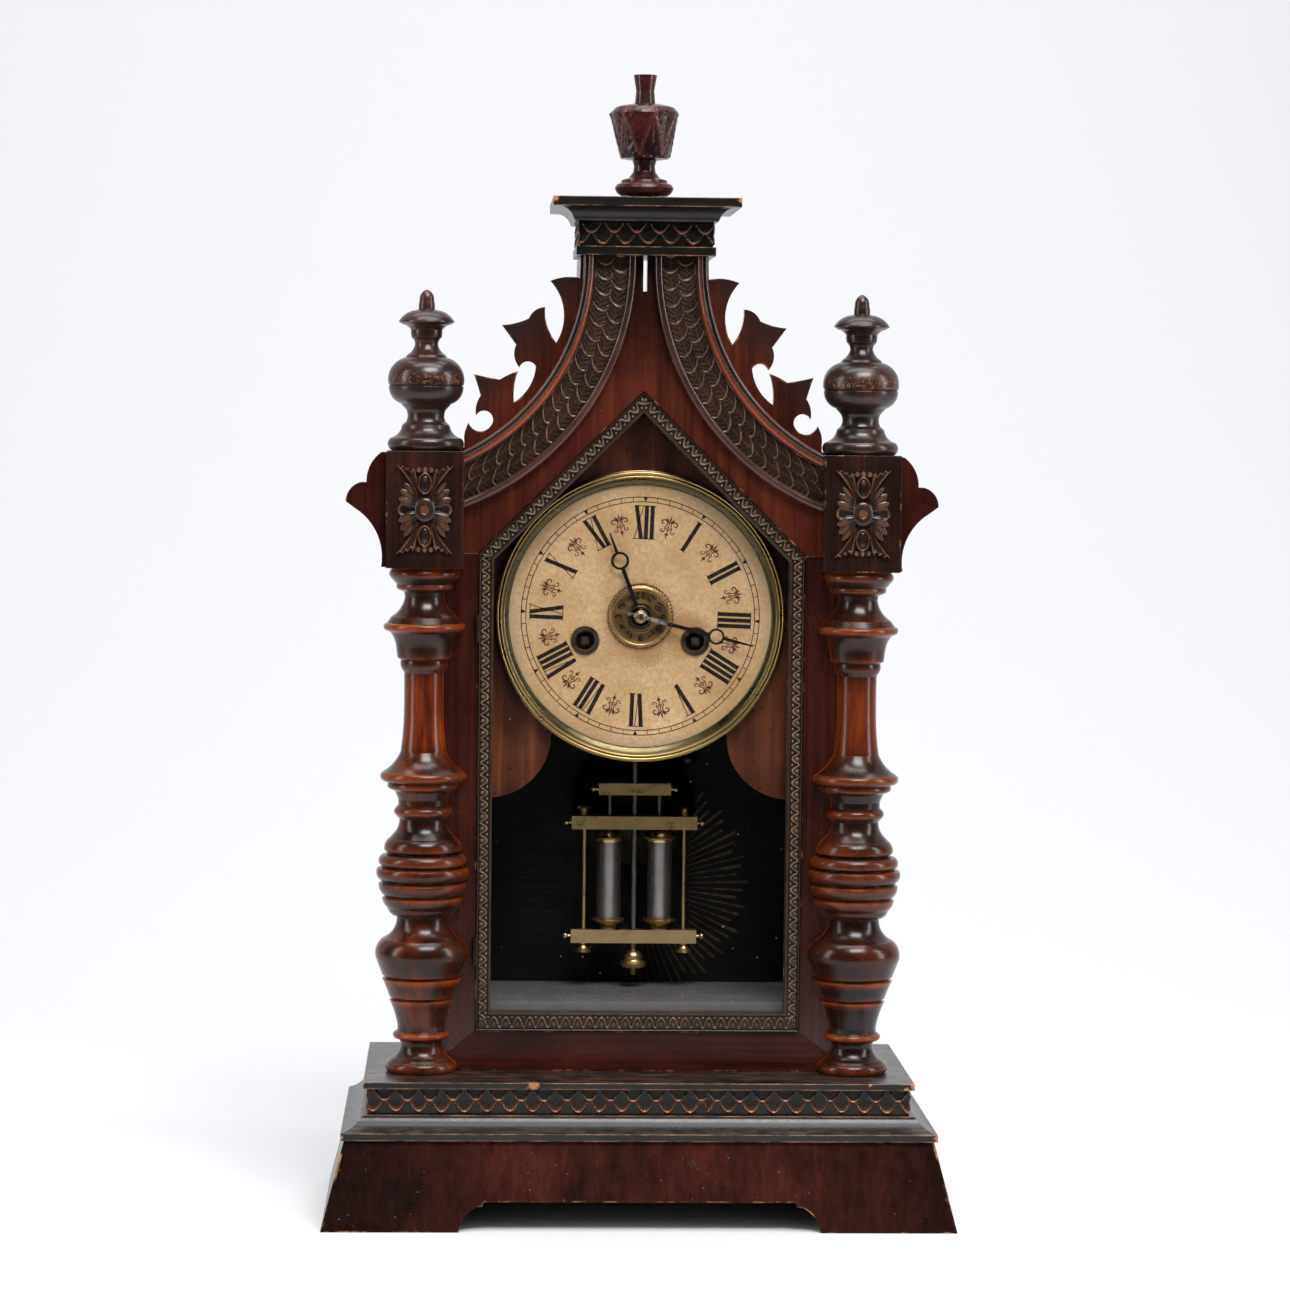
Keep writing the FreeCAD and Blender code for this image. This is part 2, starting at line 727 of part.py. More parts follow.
MID = (0.0, DIAL_Z)
GOING = (-WIND_X, DIAL_Z - WIND_DROP)
ALARM_AT = (WIND_X, DIAL_Z - WIND_DROP)
GREAT_MODULE = 2 * math.dist(MID, GOING) / sum(GREAT)
ESCAPE = (0.0, DIAL_Z + ESCAPE_RISE)
VERGE = (0.0, DIAL_Z + VERGE_RISE)
THIRD_AT = meeting(MID, spacing(CENTRE), ESCAPE, spacing(THIRD), 1)
STUD = (-spacing(MOTION) * math.sqrt(0.5), DIAL_Z - spacing(MOTION) * math.sqrt(0.5))
STAR_SHIFT = 3.5
STAR = (ALARM_AT[0] + STAR_SHIFT, ALARM_AT[1] + math.sqrt(spacing(ALARM)**2 - STAR_SHIFT**2))
HAMMER_ANGLE = math.radians(40)
HAMMER_GAP = 0.4
HAMMER_DROP = 11.0
HAMMER_REACH = BELL_R + HAMMER_R + HAMMER_GAP
HEAD = (HAMMER_REACH * math.cos(HAMMER_ANGLE), BELL_Z + HAMMER_REACH * math.sin(HAMMER_ANGLE))
HAMMER = (HEAD[0], STAR[1] + HAMMER_DROP)


def wheel_with_pinion(arbor_r, y0, y1, at, *pieces):
    return fused(disc(at[0], at[1], arbor_r, y0, y1), *pieces)


def make_motion_work():
    wheel, pinion, module = MOTION
    phase = bearing(MID, STUD)
    cannon = fused(
        disc(*MID, CANNON_R, -5.2, 11.2),
        gear(pinion, module, *MID, 8.2, 11.0, phase, 0.38),
    )
    save("cannon_pinion", cannon.cut(disc(*MID, CENTRE_R + RUN, -10, 20)))
    back = bearing(STUD, MID)
    driven = fused(
        gear(wheel, module, *STUD, 8.8, 9.8, back + math.pi / wheel, 0.38),
        gear(HOUR[1], HOUR[2], *STUD, 5.0, 8.8, back, 0.38),
    )
    save("minute_wheel", driven.cut(disc(*STUD, 1.0 + RUN, 0, 20)))
    pipe = fused(
        disc(*MID, PIPE_R, -3.4, 7.0),
        gear(HOUR[0], HOUR[2], *MID, 5.6, 6.8, phase + math.pi / HOUR[0], 0.38),
    )
    save("hour_pipe", pipe.cut(disc(*MID, CANNON_R + RUN, -10, 20)))


def make_hands():
    save("hour_hand", hand(47.2, 31.4, 4.8, 3.5, 4.4, 4.0, -3.2, -2.6, HOUR_ANGLE, PIPE_R))
    minute = hand(61.3, 41.3, 4.3, 3.2, 3.0, 8.4, -5.2, -4.6, MINUTE_ANGLE, CANNON_R)
    collet = ring([(CENTRE_R + RUN, -5.2), (CENTRE_R + RUN, -6.2), (2.9, -5.2, 2.3, -6.0)], *MID)
    save("minute_hand", minute, collet)
    raised = disc(*MID, 15.2, -2.0, -1.5, PIPE_R + RUN)
    save("alarm_disc", fused(disc(*MID, ALARM_DISC_R, -1.6, -0.7, PIPE_R + RUN), raised))


def make_going_train():
    wheel, leaves, module = CENTRE
    phase = bearing(MID, THIRD_AT)
    save("centre_arbor", wheel_with_pinion(
        CENTRE_R, -7.0, BACK_PLATE[1], MID,
        gear(wheel, module, *MID, 18.0, 19.2, phase, 0.36),
        gear(GREAT[1], GREAT_MODULE, *MID, 23.5, 27.5, bearing(MID, GOING), 0.38),
    ))
    save("third_wheel", wheel_with_pinion(
        0.55, FRONT_PLATE[0], BACK_PLATE[1], THIRD_AT,
        gear(leaves, module, *THIRD_AT, 16.5, 21.0, bearing(THIRD_AT, MID) + math.pi / leaves, 0.32),
        gear(THIRD[0], THIRD[2], *THIRD_AT, 30.0, 30.8, bearing(THIRD_AT, ESCAPE), 0.34),
    ))
    save("escape_wheel", wheel_with_pinion(
        0.4, FRONT_PLATE[0], BACK_PLATE[1], ESCAPE,
        gear(THIRD[1], THIRD[2], *ESCAPE, 28.8, 32.0, bearing(ESCAPE, THIRD_AT) + math.pi / THIRD[1], 0.30),
        escape_teeth(),
    ))
    great = gear(GREAT[0], GREAT_MODULE, *GOING, 24.5, 26.5, bearing(GOING, MID) + math.pi / GREAT[0], 0.40)
    save("great_wheel_going", great.cut(disc(*GOING, WIND_R + RUN, 20, 30)))


def escape_teeth():
    """Escape wheel with narrow pointed teeth, a gap facing straight up."""
    step = 2 * math.pi / ESCAPE_TEETH
    corners = []
    for i in range(ESCAPE_TEETH):
        for r, offset in ((7.6, -0.28), (ESCAPE_TIP_R, -0.06), (ESCAPE_TIP_R, 0.06), (7.6, 0.28)):
            angle = math.pi / 2 + step * (i + 0.5 + offset)
            corners.append((ESCAPE[0] + r * math.cos(angle), ESCAPE[1] + r * math.sin(angle)))
    return board(corners, 34.6, 35.4)


def make_verge():
    """Anchor, its arbor and the crutch that drives the pendulum."""
    x, z = VERGE
    arms = []
    reach = ESCAPE_TIP_R * math.cos(math.pi / 4)
    for side in (-1, 1):
        tip_x, tip_z = side * (reach + 0.5), ESCAPE[1] + reach + 0.5
        path = [(0, z + 2.2), (side * 2.0, z + 1.4), (side * 8.6, z - 4.4), (tip_x + side * 0.5, tip_z + 0.4)]
        path += [(tip_x, tip_z), (side * 6.0, z - 4.6), (0, z - 1.6)]
        arms.append(board(path, 34.2, 35.8))
    arbor = disc(x, z, 0.7, FRONT_PLATE[0], 44.0)
    y = PENDULUM_Y
    wire = box(x - 0.7, x + 0.7, 40.6, 42.0, z - 36, z)
    bridge = box(x - 2.6, x + 2.6, 40.6, 43.0, z - 37.5, z - 35.5)
    prongs = [box(x + s * 2.1 - 0.4, x + s * 2.1 + 0.4, 42.0, y + 3, z - 37.5, z - 35.5) for s in (-1, 1)]
    save("verge", fused(arbor, *arms, wire, bridge, *prongs))


def winding_arbor(at):
    square = box(at[0] - 2.1, at[0] + 2.1, 2.4, 12, at[1] - 2.1, at[1] + 2.1)
    body = disc(*at, WIND_R, 11.0, BACK_PLATE[0] - 0.3)
    pivot = disc(*at, 2.0, BACK_PLATE[0] - 1, BACK_PLATE[1])
    return fused(square, body, pivot)


def make_alarm_train():
    wheel, leaves, module = ALARM
    great = gear(wheel, module, *ALARM_AT, 15.6, 17.0, bearing(ALARM_AT, STAR), 0.38)
    save("great_wheel_alarm", great.cut(disc(*ALARM_AT, WIND_R + RUN, 10, 20)))
    save("alarm_escape_wheel", wheel_with_pinion(
        0.6, FRONT_PLATE[0], BACK_PLATE[1], STAR,
        gear(leaves, module, *STAR, 14.6, 18.0, bearing(STAR, ALARM_AT) + math.pi / leaves, 0.32),
        gear(14, 0.9, *STAR, 19.0, 20.0, 0.0, 0.5),
    ))
    save("winding_arbor_going", winding_arbor(GOING))
    save("winding_arbor_alarm", winding_arbor(ALARM_AT))


def make_hammer():
    x, z = HAMMER
    arbor = disc(x, z, 0.8, FRONT_PLATE[0], 63.0)
    nib = box(x - 0.8, x + 0.8, 19.0, 20.0, z - 3.2, z)
    arm = upright(x, 62.0, 0.9, HEAD[1], z)
    head = Part.makeSphere(HAMMER_R, v(HEAD[0], 63.0, HEAD[1]))
    save("alarm_hammer", fused(arbor, nib, arm, head))


def make_bell():
    t = 1.4
    sag = BELL_FRONT + 1.9
    shell = [
        (0, BELL_FRONT),
        (BELL_R, BELL_RIM, 0.55 * BELL_R, sag),
        (BELL_R - t, BELL_RIM),
        (0, BELL_FRONT + t, 0.55 * (BELL_R - t), sag + t),
    ]
    bell = ring(shell, 0, BELL_Z)
    post = disc(0, BELL_Z, 2.5, BELL_FRONT + 0.5, CASE_BACK)
    nut = disc(0, BELL_Z, 3.2, BELL_FRONT - 1.5, BELL_FRONT + 0.6)
    save("alarm_bell", fused(bell, post, nut))


def spring(at, r0, turns, y0, y1):
    """A flat spiral of half-round strips about two centres."""
    pitch, t = 1.25, 0.45
    strips = []
    for k in range(2 * turns):
        r = r0 + k * pitch
        up = k % 2 == 0
        x = at[0] + (0 if up else pitch)
        s = 1 if up else -1
        path = [
            (x + s * (r + t), at[1]),
            (x - s * (r + t), at[1], x, at[1] + s * (r + t)),
            (x - s * r, at[1]),
            (x + s * r, at[1], x, at[1] + s * r),
        ]
        strips.append(board(path, y0, y1))
    return fused(*strips)


def plate_holes():
    """Pivot centres with the arbor's radius in the front and in the back plate."""
    return (
        (MID, CENTRE_R, CENTRE_R), (THIRD_AT, 0.55, 0.55), (ESCAPE, 0.4, 0.4), (VERGE, 0.7, 0.7),
        (GOING, WIND_R, 2.0), (ALARM_AT, WIND_R, 2.0), (STAR, 0.6, 0.6), (HAMMER, 0.8, 0.8),
    )


def make_frame_of_movement():
    z0, z1 = DIAL_Z + PLATE_LOW, DIAL_Z + PLATE_HIGH
    plates = []
    for ys, index in ((FRONT_PLATE, 1), (BACK_PLATE, 2)):
        plate = box(-PLATE_HALF, PLATE_HALF, *ys, z0, z1)
        for hole in plate_holes():
            plate = plate.cut(disc(*hole[0], hole[index] + RUN, ys[0] - 1, ys[1] + 1))
        plates.append(plate)
    save("movement_plates", *plates)
    posts = []
    for x, z in PILLARS:
        posts.append(disc(x, DIAL_Z + z, 3.0, FRONT_PLATE[1], BACK_PLATE[0]))
        posts.append(disc(x, DIAL_Z + z, 2.2, BOARD_Y[1], FRONT_PLATE[0]))
    posts.append(disc(*STUD, 1.0, 4.6, FRONT_PLATE[0]))
    x, z = VERGE
    posts.append(fused(
        box(-4, 4, BACK_PLATE[1], 53, z + 5.5, z + 9),
        box(-3, 3, 51, 53, z - 2, z + 9),
        disc(x, z, 1.2, 44.6, 51.5),
    ))
    save("movement_posts", *posts)
    going = spring(GOING, 4.6, 8, 28.4, 37.0)
    alarm = spring(ALARM_AT, 4.6, 4, 21.6, 36.0)
    save("mainsprings", going, alarm)


# ---------------------------------------------------------------- pendulum
def rail(z0, z1, half, depth, ball_x, ball_r):
    y, mid = PENDULUM_Y, (z0 + z1) / 2
    pieces = [box(-half, half, y - depth, y + depth, z0, z1)]
    for side in (-1, 1):
        start = v(side * half - side, y, mid)
        pieces.append(Part.makeCylinder(0.8, ball_x - half + 1, start, v(side, 0, 0)))
        pieces.append(Part.makeSphere(ball_r, v(side * ball_x, y, mid)))
    return pieces


def make_pendulum():
    y, z = PENDULUM_Y, VERGE[1]
    pieces = [upright(0, y, 1.5, 116.4, z - 2.0)]
    pieces += rail(214.2, 220.5, 19.5, 2.5, 22.3, 1.5)
    pieces += rail(195.6, 202.7, 33.9, 3.0, 36.9, 1.6)
    pieces += rail(133.7, 141.0, 34.0, 3.0, 37.0, 1.6)
    for s in (-1, 1):
        pieces.append(upright(s * 13.5, y, 1.1, 202.0, 215.0))
        pieces.append(upright(s * 27.1, y, 1.1, 140.0, 196.0))
        pieces.append(turned([(202.7, 2.3), (205.6, 2.0), (207.2, 4.9, -0.6), (208.4, 2.6, 0.4)], s * 27.3, y))
        pieces.append(turned([(128.8, 4.6), (130.2, 4.2), (133.7, 2.2, -0.7)], s * 27.3, y))
    body = fused(*pieces)
    eye = disc(0, z, 2.8, y - 1.0, y + 1.0)
    body = fused(body, eye).cut(disc(0, z, 1.2 + RUN, y - 3, y + 3))
    save("pendulum_frame", body)
    jar = [
        (141.0, 5.5), (143.6, 5.5), (144.6, 9.3, -0.8), (146.6, 8.6), (147.4, 6.3), (189.6, 6.3),
        (190.4, 9.3), (191.6, 9.3), (193.0, 6.6, -0.4), (195.6, 4.0, 0.8),
    ]
    save("pendulum_jars", *[turned(jar, s * 13.8, y) for s in (-1, 1)])
    nut = [(120.0, 3.0), (121.2, 6.6, 0.4), (122.8, 7.0), (124.0, 5.6), (126.0, 5.0, -0.3), (129.4, 2.6, 0.6)]
    save("rating_nut", turned(nut, 0, y).cut(upright(0, y, 1.5 + RUN, 110, 135)))


os.makedirs("parts", exist_ok=True)
make_plinth()
make_base()
make_case()
make_front_frame()
make_gable_trim()
make_crockets()
make_columns()
make_cap()
make_door()
make_dial()
make_hands()
make_motion_work()
make_going_train()
make_verge()
make_alarm_train()
make_hammer()
make_bell()
make_frame_of_movement()
make_pendulum()
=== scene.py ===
import math

import bmesh
import bpy
import numpy as np
from mathutils import Matrix, Vector


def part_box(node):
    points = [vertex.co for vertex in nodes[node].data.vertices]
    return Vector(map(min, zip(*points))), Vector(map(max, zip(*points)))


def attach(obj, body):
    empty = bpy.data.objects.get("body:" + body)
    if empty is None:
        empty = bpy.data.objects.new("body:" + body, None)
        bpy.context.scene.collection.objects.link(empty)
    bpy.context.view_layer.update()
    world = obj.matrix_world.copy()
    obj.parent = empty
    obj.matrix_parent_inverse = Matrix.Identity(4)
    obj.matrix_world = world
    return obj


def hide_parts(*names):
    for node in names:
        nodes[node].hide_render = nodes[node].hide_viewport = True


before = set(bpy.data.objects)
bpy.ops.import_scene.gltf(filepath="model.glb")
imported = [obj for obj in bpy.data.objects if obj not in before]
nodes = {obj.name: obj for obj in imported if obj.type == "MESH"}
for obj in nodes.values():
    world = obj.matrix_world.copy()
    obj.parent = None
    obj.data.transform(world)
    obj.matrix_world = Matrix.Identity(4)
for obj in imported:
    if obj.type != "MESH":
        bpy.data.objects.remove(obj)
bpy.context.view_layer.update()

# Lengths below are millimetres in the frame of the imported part, but metres where a material or
# the stage uses them. Points closer than WELD become one.
MM = 0.001
WELD = 0.002

# ------------------------ places taken from the part
def box_mm(node):
    """The low and the high corner of a CAD node's box."""
    return [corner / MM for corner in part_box(node)]


FRIEZE_LOW, FRIEZE_HIGH = box_mm("base_frieze")
CAP_LOW, CAP_HIGH = box_mm("cap_frieze")
DOOR_LOW, DOOR_HIGH = box_mm("door_trim")
ROSETTE_LOW, ROSETTE_HIGH = box_mm("rosettes")
BEZEL_LOW, BEZEL_HIGH = box_mm("dial_bezel")
CARD_LOW = box_mm("backdrop_card")[0]
JARS_LOW, JARS_HIGH = box_mm("pendulum_jars")
BAND_HIGH = box_mm("gable_scales")[1]
DIAL_Z = (BEZEL_LOW.z + BEZEL_HIGH.z) / 2
DIAL_AT = (0, 0, DIAL_Z)
PENDULUM_Y = (JARS_LOW.y + JARS_HIGH.y) / 2
# centre of the gable's right-hand curve, and the radii of its scale band
ARC_X, ARC_Z = 142.5, 499.0
R_SCALES_IN, R_SCALES_OUT = 117.0, 133.5
TURN_OF_PRINT = math.radians(2.0)
SIDES = ((-1, "left"), (1, "right"))


# ------------------------ shader helpers
class Shader:
    """A node material with a Principled shader and short calls for the nodes that feed it."""

    def __init__(self, name, **sockets):
        self.material = bpy.data.materials.new(name)
        self.material.use_nodes = True
        self.tree = self.material.node_tree
        self.bsdf = self.tree.nodes["Principled BSDF"]
        self.place = self.node("ShaderNodeTexCoord").outputs["Object"]
        for key, value in sockets.items():
            self.put(self.bsdf.inputs[key.replace("_", " ")], value)

    def put(self, socket, value):
        if isinstance(value, bpy.types.NodeSocket):
            self.tree.links.new(value, socket)
        elif isinstance(value, (tuple, list)) and len(value) == 3 and socket.type == "RGBA":
            socket.default_value = (*value, 1.0)
        else:
            socket.default_value = value

    def node(self, kind, inputs=None, **settings):
        made = self.tree.nodes.new(kind)
        for key, value in settings.items():
            setattr(made, key, value)
        for key, value in (inputs or {}).items():
            self.put(made.inputs[key], value)
        return made

    def noise(self, scale, detail=4.0, roughness=0.6, stretch=(1, 1, 1)):
        spread = self.node("ShaderNodeMapping", {"Vector": self.place, "Scale": stretch})
        inputs = {"Vector": spread.outputs[0], "Scale": scale, "Detail": detail, "Roughness": roughness}
        return self.node("ShaderNodeTexNoise", inputs).outputs["Fac"]

    def span(self, value, low, high, out_low=0.0, out_high=1.0):
        inputs = {0: value, 1: low, 2: high, 3: out_low, 4: out_high}
        return self.node("ShaderNodeMapRange", inputs, clamp=True).outputs[0]

    def math(self, operation, a, b=0.0):
        return self.node("ShaderNodeMath", {0: a, 1: b}, operation=operation).outputs[0]

    def ramp(self, value, stops):
        made = self.node("ShaderNodeValToRGB", {"Fac": value})
        elements = made.color_ramp.elements
        while len(elements) < len(stops):
            elements.new(0.5)
        for element, (place, colour) in zip(elements, stops):
            element.position = place
            element.color = (*colour, 1.0)
        return made.outputs["Color"]

    def times(self, a, b):
        return self.math("MULTIPLY", a, b)

    def mix(self, factor, a, b, blend="MIX"):
        # inputs 6 and 7 and output 2 are the colour ones
        inputs = {0: factor, 6: a, 7: b}
        return self.node("ShaderNodeMix", inputs, data_type="RGBA", blend_type=blend).outputs[2]

    def shade(self, factor, a, b):
        """a multiplied by b, as far as factor says."""
        return self.mix(factor, a, b, "MULTIPLY")

    def hollows(self, distance, inside=False):
        """1 in the open, towards 0 in a groove narrower than the distance in mm."""
        inputs = {"Distance": distance * MM}
        made = self.node("ShaderNodeAmbientOcclusion", inputs, samples=6, only_local=True, inside=inside)
        return made.outputs["AO"]

    def arrises(self, distance):
        """1 on a convex edge, falling to 0 at about the distance in mm."""
        return self.span(self.hollows(distance, inside=True), 0.98, 0.62)

    def axis(self, index):
        return self.node("ShaderNodeSeparateXYZ", {0: self.place}).outputs[index]

    def vector(self, operation, a, b=(0, 0, 0)):
        return self.node("ShaderNodeVectorMath", {0: a, 1: b}, operation=operation).outputs

    def reach(self, centre, flat=False, mirrored=False):
        """Metres from a point in mm. flat leaves out the depth, mirrored folds the left half over."""
        here = self.vector("ABSOLUTE", self.place)[0] if mirrored else self.place
        here = self.vector("MULTIPLY", here, (1, 0, 1))[0] if flat else here
        return self.vector("DISTANCE", here, Vector(centre) * MM)["Value"]

    def spot(self, centre, radius, fray=0.35):
        """A ragged round mask about a point in mm."""
        far = self.reach(centre)
        ragged = self.span(self.noise(900.0), 0.3, 0.7, 1 - fray, 1 + fray)
        return self.span(self.times(far, ragged), radius * MM, radius * MM * 0.7)

    def tone(self):
        return self.node("ShaderNodeAttribute", attribute_name="tone").outputs["Fac"]

    def bump(self, height, distance, soften=0.0):
        inputs = {"Height": height, "Distance": distance * MM, "Strength": 1.0}
        if soften:
            inputs["Normal"] = self.node("ShaderNodeBevel", {"Radius": soften * MM}, samples=4).outputs[0]
        normal = self.node("ShaderNodeBump", inputs).outputs[0]
        self.put(self.bsdf.inputs["Normal"], normal)

    def colour(self, value):
        self.put(self.bsdf.inputs["Base Color"], value)

    def rough(self, value):
        self.put(self.bsdf.inputs["Roughness"], value)

    def alpha(self, value):
        self.put(self.bsdf.inputs["Alpha"], value)

    def uneven(self, noise, low, high):
        """Roughness from low to high, following a noise."""
        self.rough(self.span(noise, 0.3, 0.7, low, high))


GRAIN = {"x": (0.035, 1, 1), "z": (1, 1, 0.035)}
# colours in thousandths, as in the table of materials
TAN = (460, 200, 80)
ORANGE = (270, 46, 5)


def thousandths(*colours):
    return [tuple(c / 1000 for c in colour) for colour in colours]


def wood(name, dark, mid, light, wear, grain="z", worn=TAN, gloss=0.24, extra=None, **more):
    """Stained and polished wood: mottled stain, fine grain, painted shade in the hollows, rubbed edges."""
    dark, mid, light, worn = thousandths(dark, mid, light, worn)
    s = Shader(name, Coat_Weight=more.get("coat", 0.25), Coat_Roughness=more.get("coat_rough", 0.14),
               Specular_IOR_Level=more.get("shine", 0.4))
    fine = s.noise(420.0, 5.0, 0.65, GRAIN[grain])
    bands = s.noise(95.0, 3.0, 0.55, GRAIN[grain])
    mottle = s.noise(more.get("mottle", 22.0), 4.0, 0.6)
    blend = s.math("ADD", s.times(mottle, 0.62), s.times(bands, 0.38))
    colour = s.ramp(s.span(blend, 0.34, 0.66), [(0.0, dark), (0.5, mid), (1.0, light)])
    pores = s.ramp(s.span(fine, 0.35, 0.65), [(0.0, (0.5, 0.45, 0.42)), (1.0, (1.2, 1.15, 1.1))])
    colour = s.shade(0.75, colour, pores)
    if extra:
        colour = extra(s, colour)
    # painted shade: ambient occlusion darkens the colour to near black in grooves and hollows
    hollow = s.span(s.hollows(more.get("dirt", 2.5)), more.get("grime", 0.35), 0.95)
    colour = s.mix(hollow, (0.008, 0.005, 0.004), colour)
    if wear:
        patches = s.noise(70.0, 6.0, 0.7)
        edge = s.times(s.arrises(more.get("edge", 0.9)), s.span(patches, 0.62 - 0.3 * wear, 0.68))
        colour = s.mix(edge, colour, worn)
    s.colour(colour)
    s.uneven(s.noise(160.0, 5.0, 0.7), gloss * 0.85, gloss * 1.2)
    ripple = s.math("ADD", s.times(fine, 0.6), s.noise(60.0, 2.0, 0.5, GRAIN[grain]))
    s.bump(ripple, more.get("relief", 0.06), soften=0.5)
    return s.material


def specks(s, colour, scale, amount, tint):
    """Scattered fine marks, more of them as amount nears 1."""
    mask = s.span(s.noise(scale, 2.0, 0.4), 0.80 - 0.1 * amount, 0.83 - 0.1 * amount)
    return s.mix(mask, colour, tint)


def plinth_marks(s, colour):
    x = s.math("ABSOLUTE", s.axis(0))
    # darker towards both ends of the plinth, set by position alone
    colour = s.shade(s.span(x, 0.085, 0.165), colour, (0.34, 0.38, 0.42))
    colour = specks(s, colour, 520.0, 0.5, (0.13, 0.085, 0.065))
    return s.mix(s.spot((27.0, -70.0, 35.0), 3.2), colour, (0.035, 0.03, 0.03))


def gable_fade(s, colour):
    """Redder below, darker and browner towards the cap."""
    z = s.axis(2)
    return s.shade(s.span(z, 0.43, 0.495), colour, (0.22, 0.22, 0.26))


def gable_stripes(s, colour):
    """The bent mouldings, from the crockets inwards: dark cove, worn orange roll, brown-grey flats."""
    far = s.reach((ARC_X, 0, ARC_Z), flat=True, mirrored=True)
    stripes = s.ramp(s.span(far, 0.110, 0.138), [
        (0.03, (0.10, 0.055, 0.045)), (0.06, (0.012, 0.009, 0.009)), (0.11, (0.013, 0.010, 0.010)),
        (0.135, (0.26, 0.045, 0.009)), (0.20, (0.20, 0.034, 0.008)), (0.225, (0.030, 0.014, 0.011)),
        (0.85, (0.024, 0.011, 0.009)), (0.92, (0.050, 0.019, 0.014)),
    ])
    mottle = s.ramp(s.noise(60.0), [(0.3, (0.55, 0.5, 0.5)), (0.7, (1.4, 1.3, 1.2))])
    return gable_fade(s, s.shade(0.8, stripes, mottle))


def crocket_tips(s, colour):
    """Greyer and darker towards the outer points."""
    x = s.math("ABSOLUTE", s.axis(0))
    height = s.times(s.math("SUBTRACT", s.axis(2), 0.40), 0.83)
    return s.mix(s.span(s.math("ADD", x, height), 0.092, 0.116, 0.0, 0.85), colour, (0.014, 0.008, 0.007))


def shelf_marks(s, colour):
    """Chips on the base and the cap where the photo has them, and scuffs on what faces up."""
    for centre, radius in (
        ((-55.0, -55.1, 73.4), 5.0), ((143.1, -55.1, 73.0), 4.2), ((-143.1, -55.1, 73.9), 1.6),
        ((154.3, -66.3, 47.5), 3.6), ((-154.3, -66.3, 47.0), 2.6), ((48.7, -38.2, 531.0), 3.6),
        ((-48.7, -38.2, 531.4), 4.6), ((120.0, -55.1, 73.9), 2.2), ((139.0, -55.1, 70.8), 2.6),
    ):
        colour = s.mix(s.spot(centre, radius * 0.62), colour, (0.30, 0.125, 0.05))
    up = s.node("ShaderNodeSeparateXYZ", {0: s.node("ShaderNodeNewGeometry").outputs["Normal"]}).outputs[2]
    scuffed = s.span(s.noise(140.0, 6.0, 0.75, (0.4, 2.0, 1)), 0.45, 0.75)
    return s.mix(s.times(s.span(up, 0.8, 0.95), scuffed), colour, (0.085, 0.055, 0.04))


def finial_band(s, colour):
    """Crazed polish above the equator of each ball."""
    z = s.axis(2)
    inside = s.times(s.span(z, 0.4335, 0.435), s.span(z, 0.4415, 0.439))
    flakes = s.span(s.noise(900.0, 3.0, 0.6), 0.53, 0.62)
    return s.mix(s.times(inside, flakes), colour, (0.15, 0.065, 0.03))


def column_wear(s, colour):
    """Polish worn to orange in patches round the turnings."""
    patch = s.span(s.noise(26.0, 3.0, 0.5, (1, 1, 0.5)), 0.50, 0.66, 0.0, 0.8)
    z = s.axis(2)
    shaft = s.times(s.span(z, 0.236, 0.248), s.span(z, 0.290, 0.274))
    shaft = s.times(shaft, s.span(s.noise(18.0, 2.0, 0.5, (1, 1, 0.4)), 0.40, 0.60, 0.1, 1.0))
    # the orange is weaker towards the right-hand column, set by position alone
    worn = s.times(s.math("MAXIMUM", patch, shaft), s.span(s.axis(0), -0.05, 0.05, 1.0, 0.6))
    streaks = s.noise(240.0, 5.0, 0.7, (1, 1, 0.08))
    figure = s.ramp(streaks, [(0.34, (0.040, 0.005, 0.0005)), (0.52, (0.125, 0.017, 0.001)),
                              (0.72, (0.200, 0.036, 0.002))])
    return s.mix(worn, colour, figure)


def carved(name, ground, face_colour, rubbed, gloss=0.28):
    """Carved wood whose high lines, told by the tone attribute, are rubbed light."""
    ground, face_colour, rubbed = thousandths(ground, face_colour, rubbed)
    s = Shader(name, Coat_Weight=0.1, Coat_Roughness=0.2, Specular_IOR_Level=0.35)
    patches = s.noise(55.0, 4.0, 0.6)
    base = s.mix(s.span(patches, 0.35, 0.7), ground, face_colour)
    fine = s.noise(600.0, 3.0, 0.6)
    base = s.shade(0.6, base, s.ramp(fine, [(0.3, (0.6, 0.6, 0.6)), (0.7, (1.3, 1.25, 1.2))]))
    worn = s.times(s.tone(), s.span(s.noise(120.0, 4.0, 0.7), 0.34, 0.60, 0.35, 1.0))
    s.colour(s.mix(worn, base, rubbed))
    s.uneven(fine, gloss * 0.8, gloss * 1.4)
    s.bump(fine, 0.05)
    return s.material


def metal(name, colour, tarnish, gloss, scale=45.0, spread=0.7, dirt=1.0, extra=None):
    """Old metal: even colour broken by tarnish, darker in the hollows."""
    colour, tarnish = thousandths(colour, tarnish)
    s = Shader(name, Metallic=1.0)
    blotch = s.noise(scale, 4.0, 0.6)
    base = s.mix(s.span(blotch, 0.36, 0.72, 0.0, spread), colour, tarnish)
    if extra:
        base = extra(s, base)
    base = s.mix(s.span(s.hollows(dirt), 0.2, 0.85), tuple(c * 0.2 for c in tarnish), base)
    s.colour(base)
    s.uneven(s.noise(scale * 4, 3.0, 0.6), gloss * 0.8, gloss * 1.3)
    return s.material


def bezel_shadow(s, colour):
    """The hollow inner slope is darker and greener than the two rolled beads."""
    far = s.reach(DIAL_AT, flat=True)
    return s.mix(s.span(far, 0.0732, 0.0727), colour, (0.075, 0.062, 0.030))


# ------------------------ mesh helpers
def add_object(name, data):
    made = bpy.data.objects.new(name, data)
    bpy.context.scene.collection.objects.link(made)
    return made


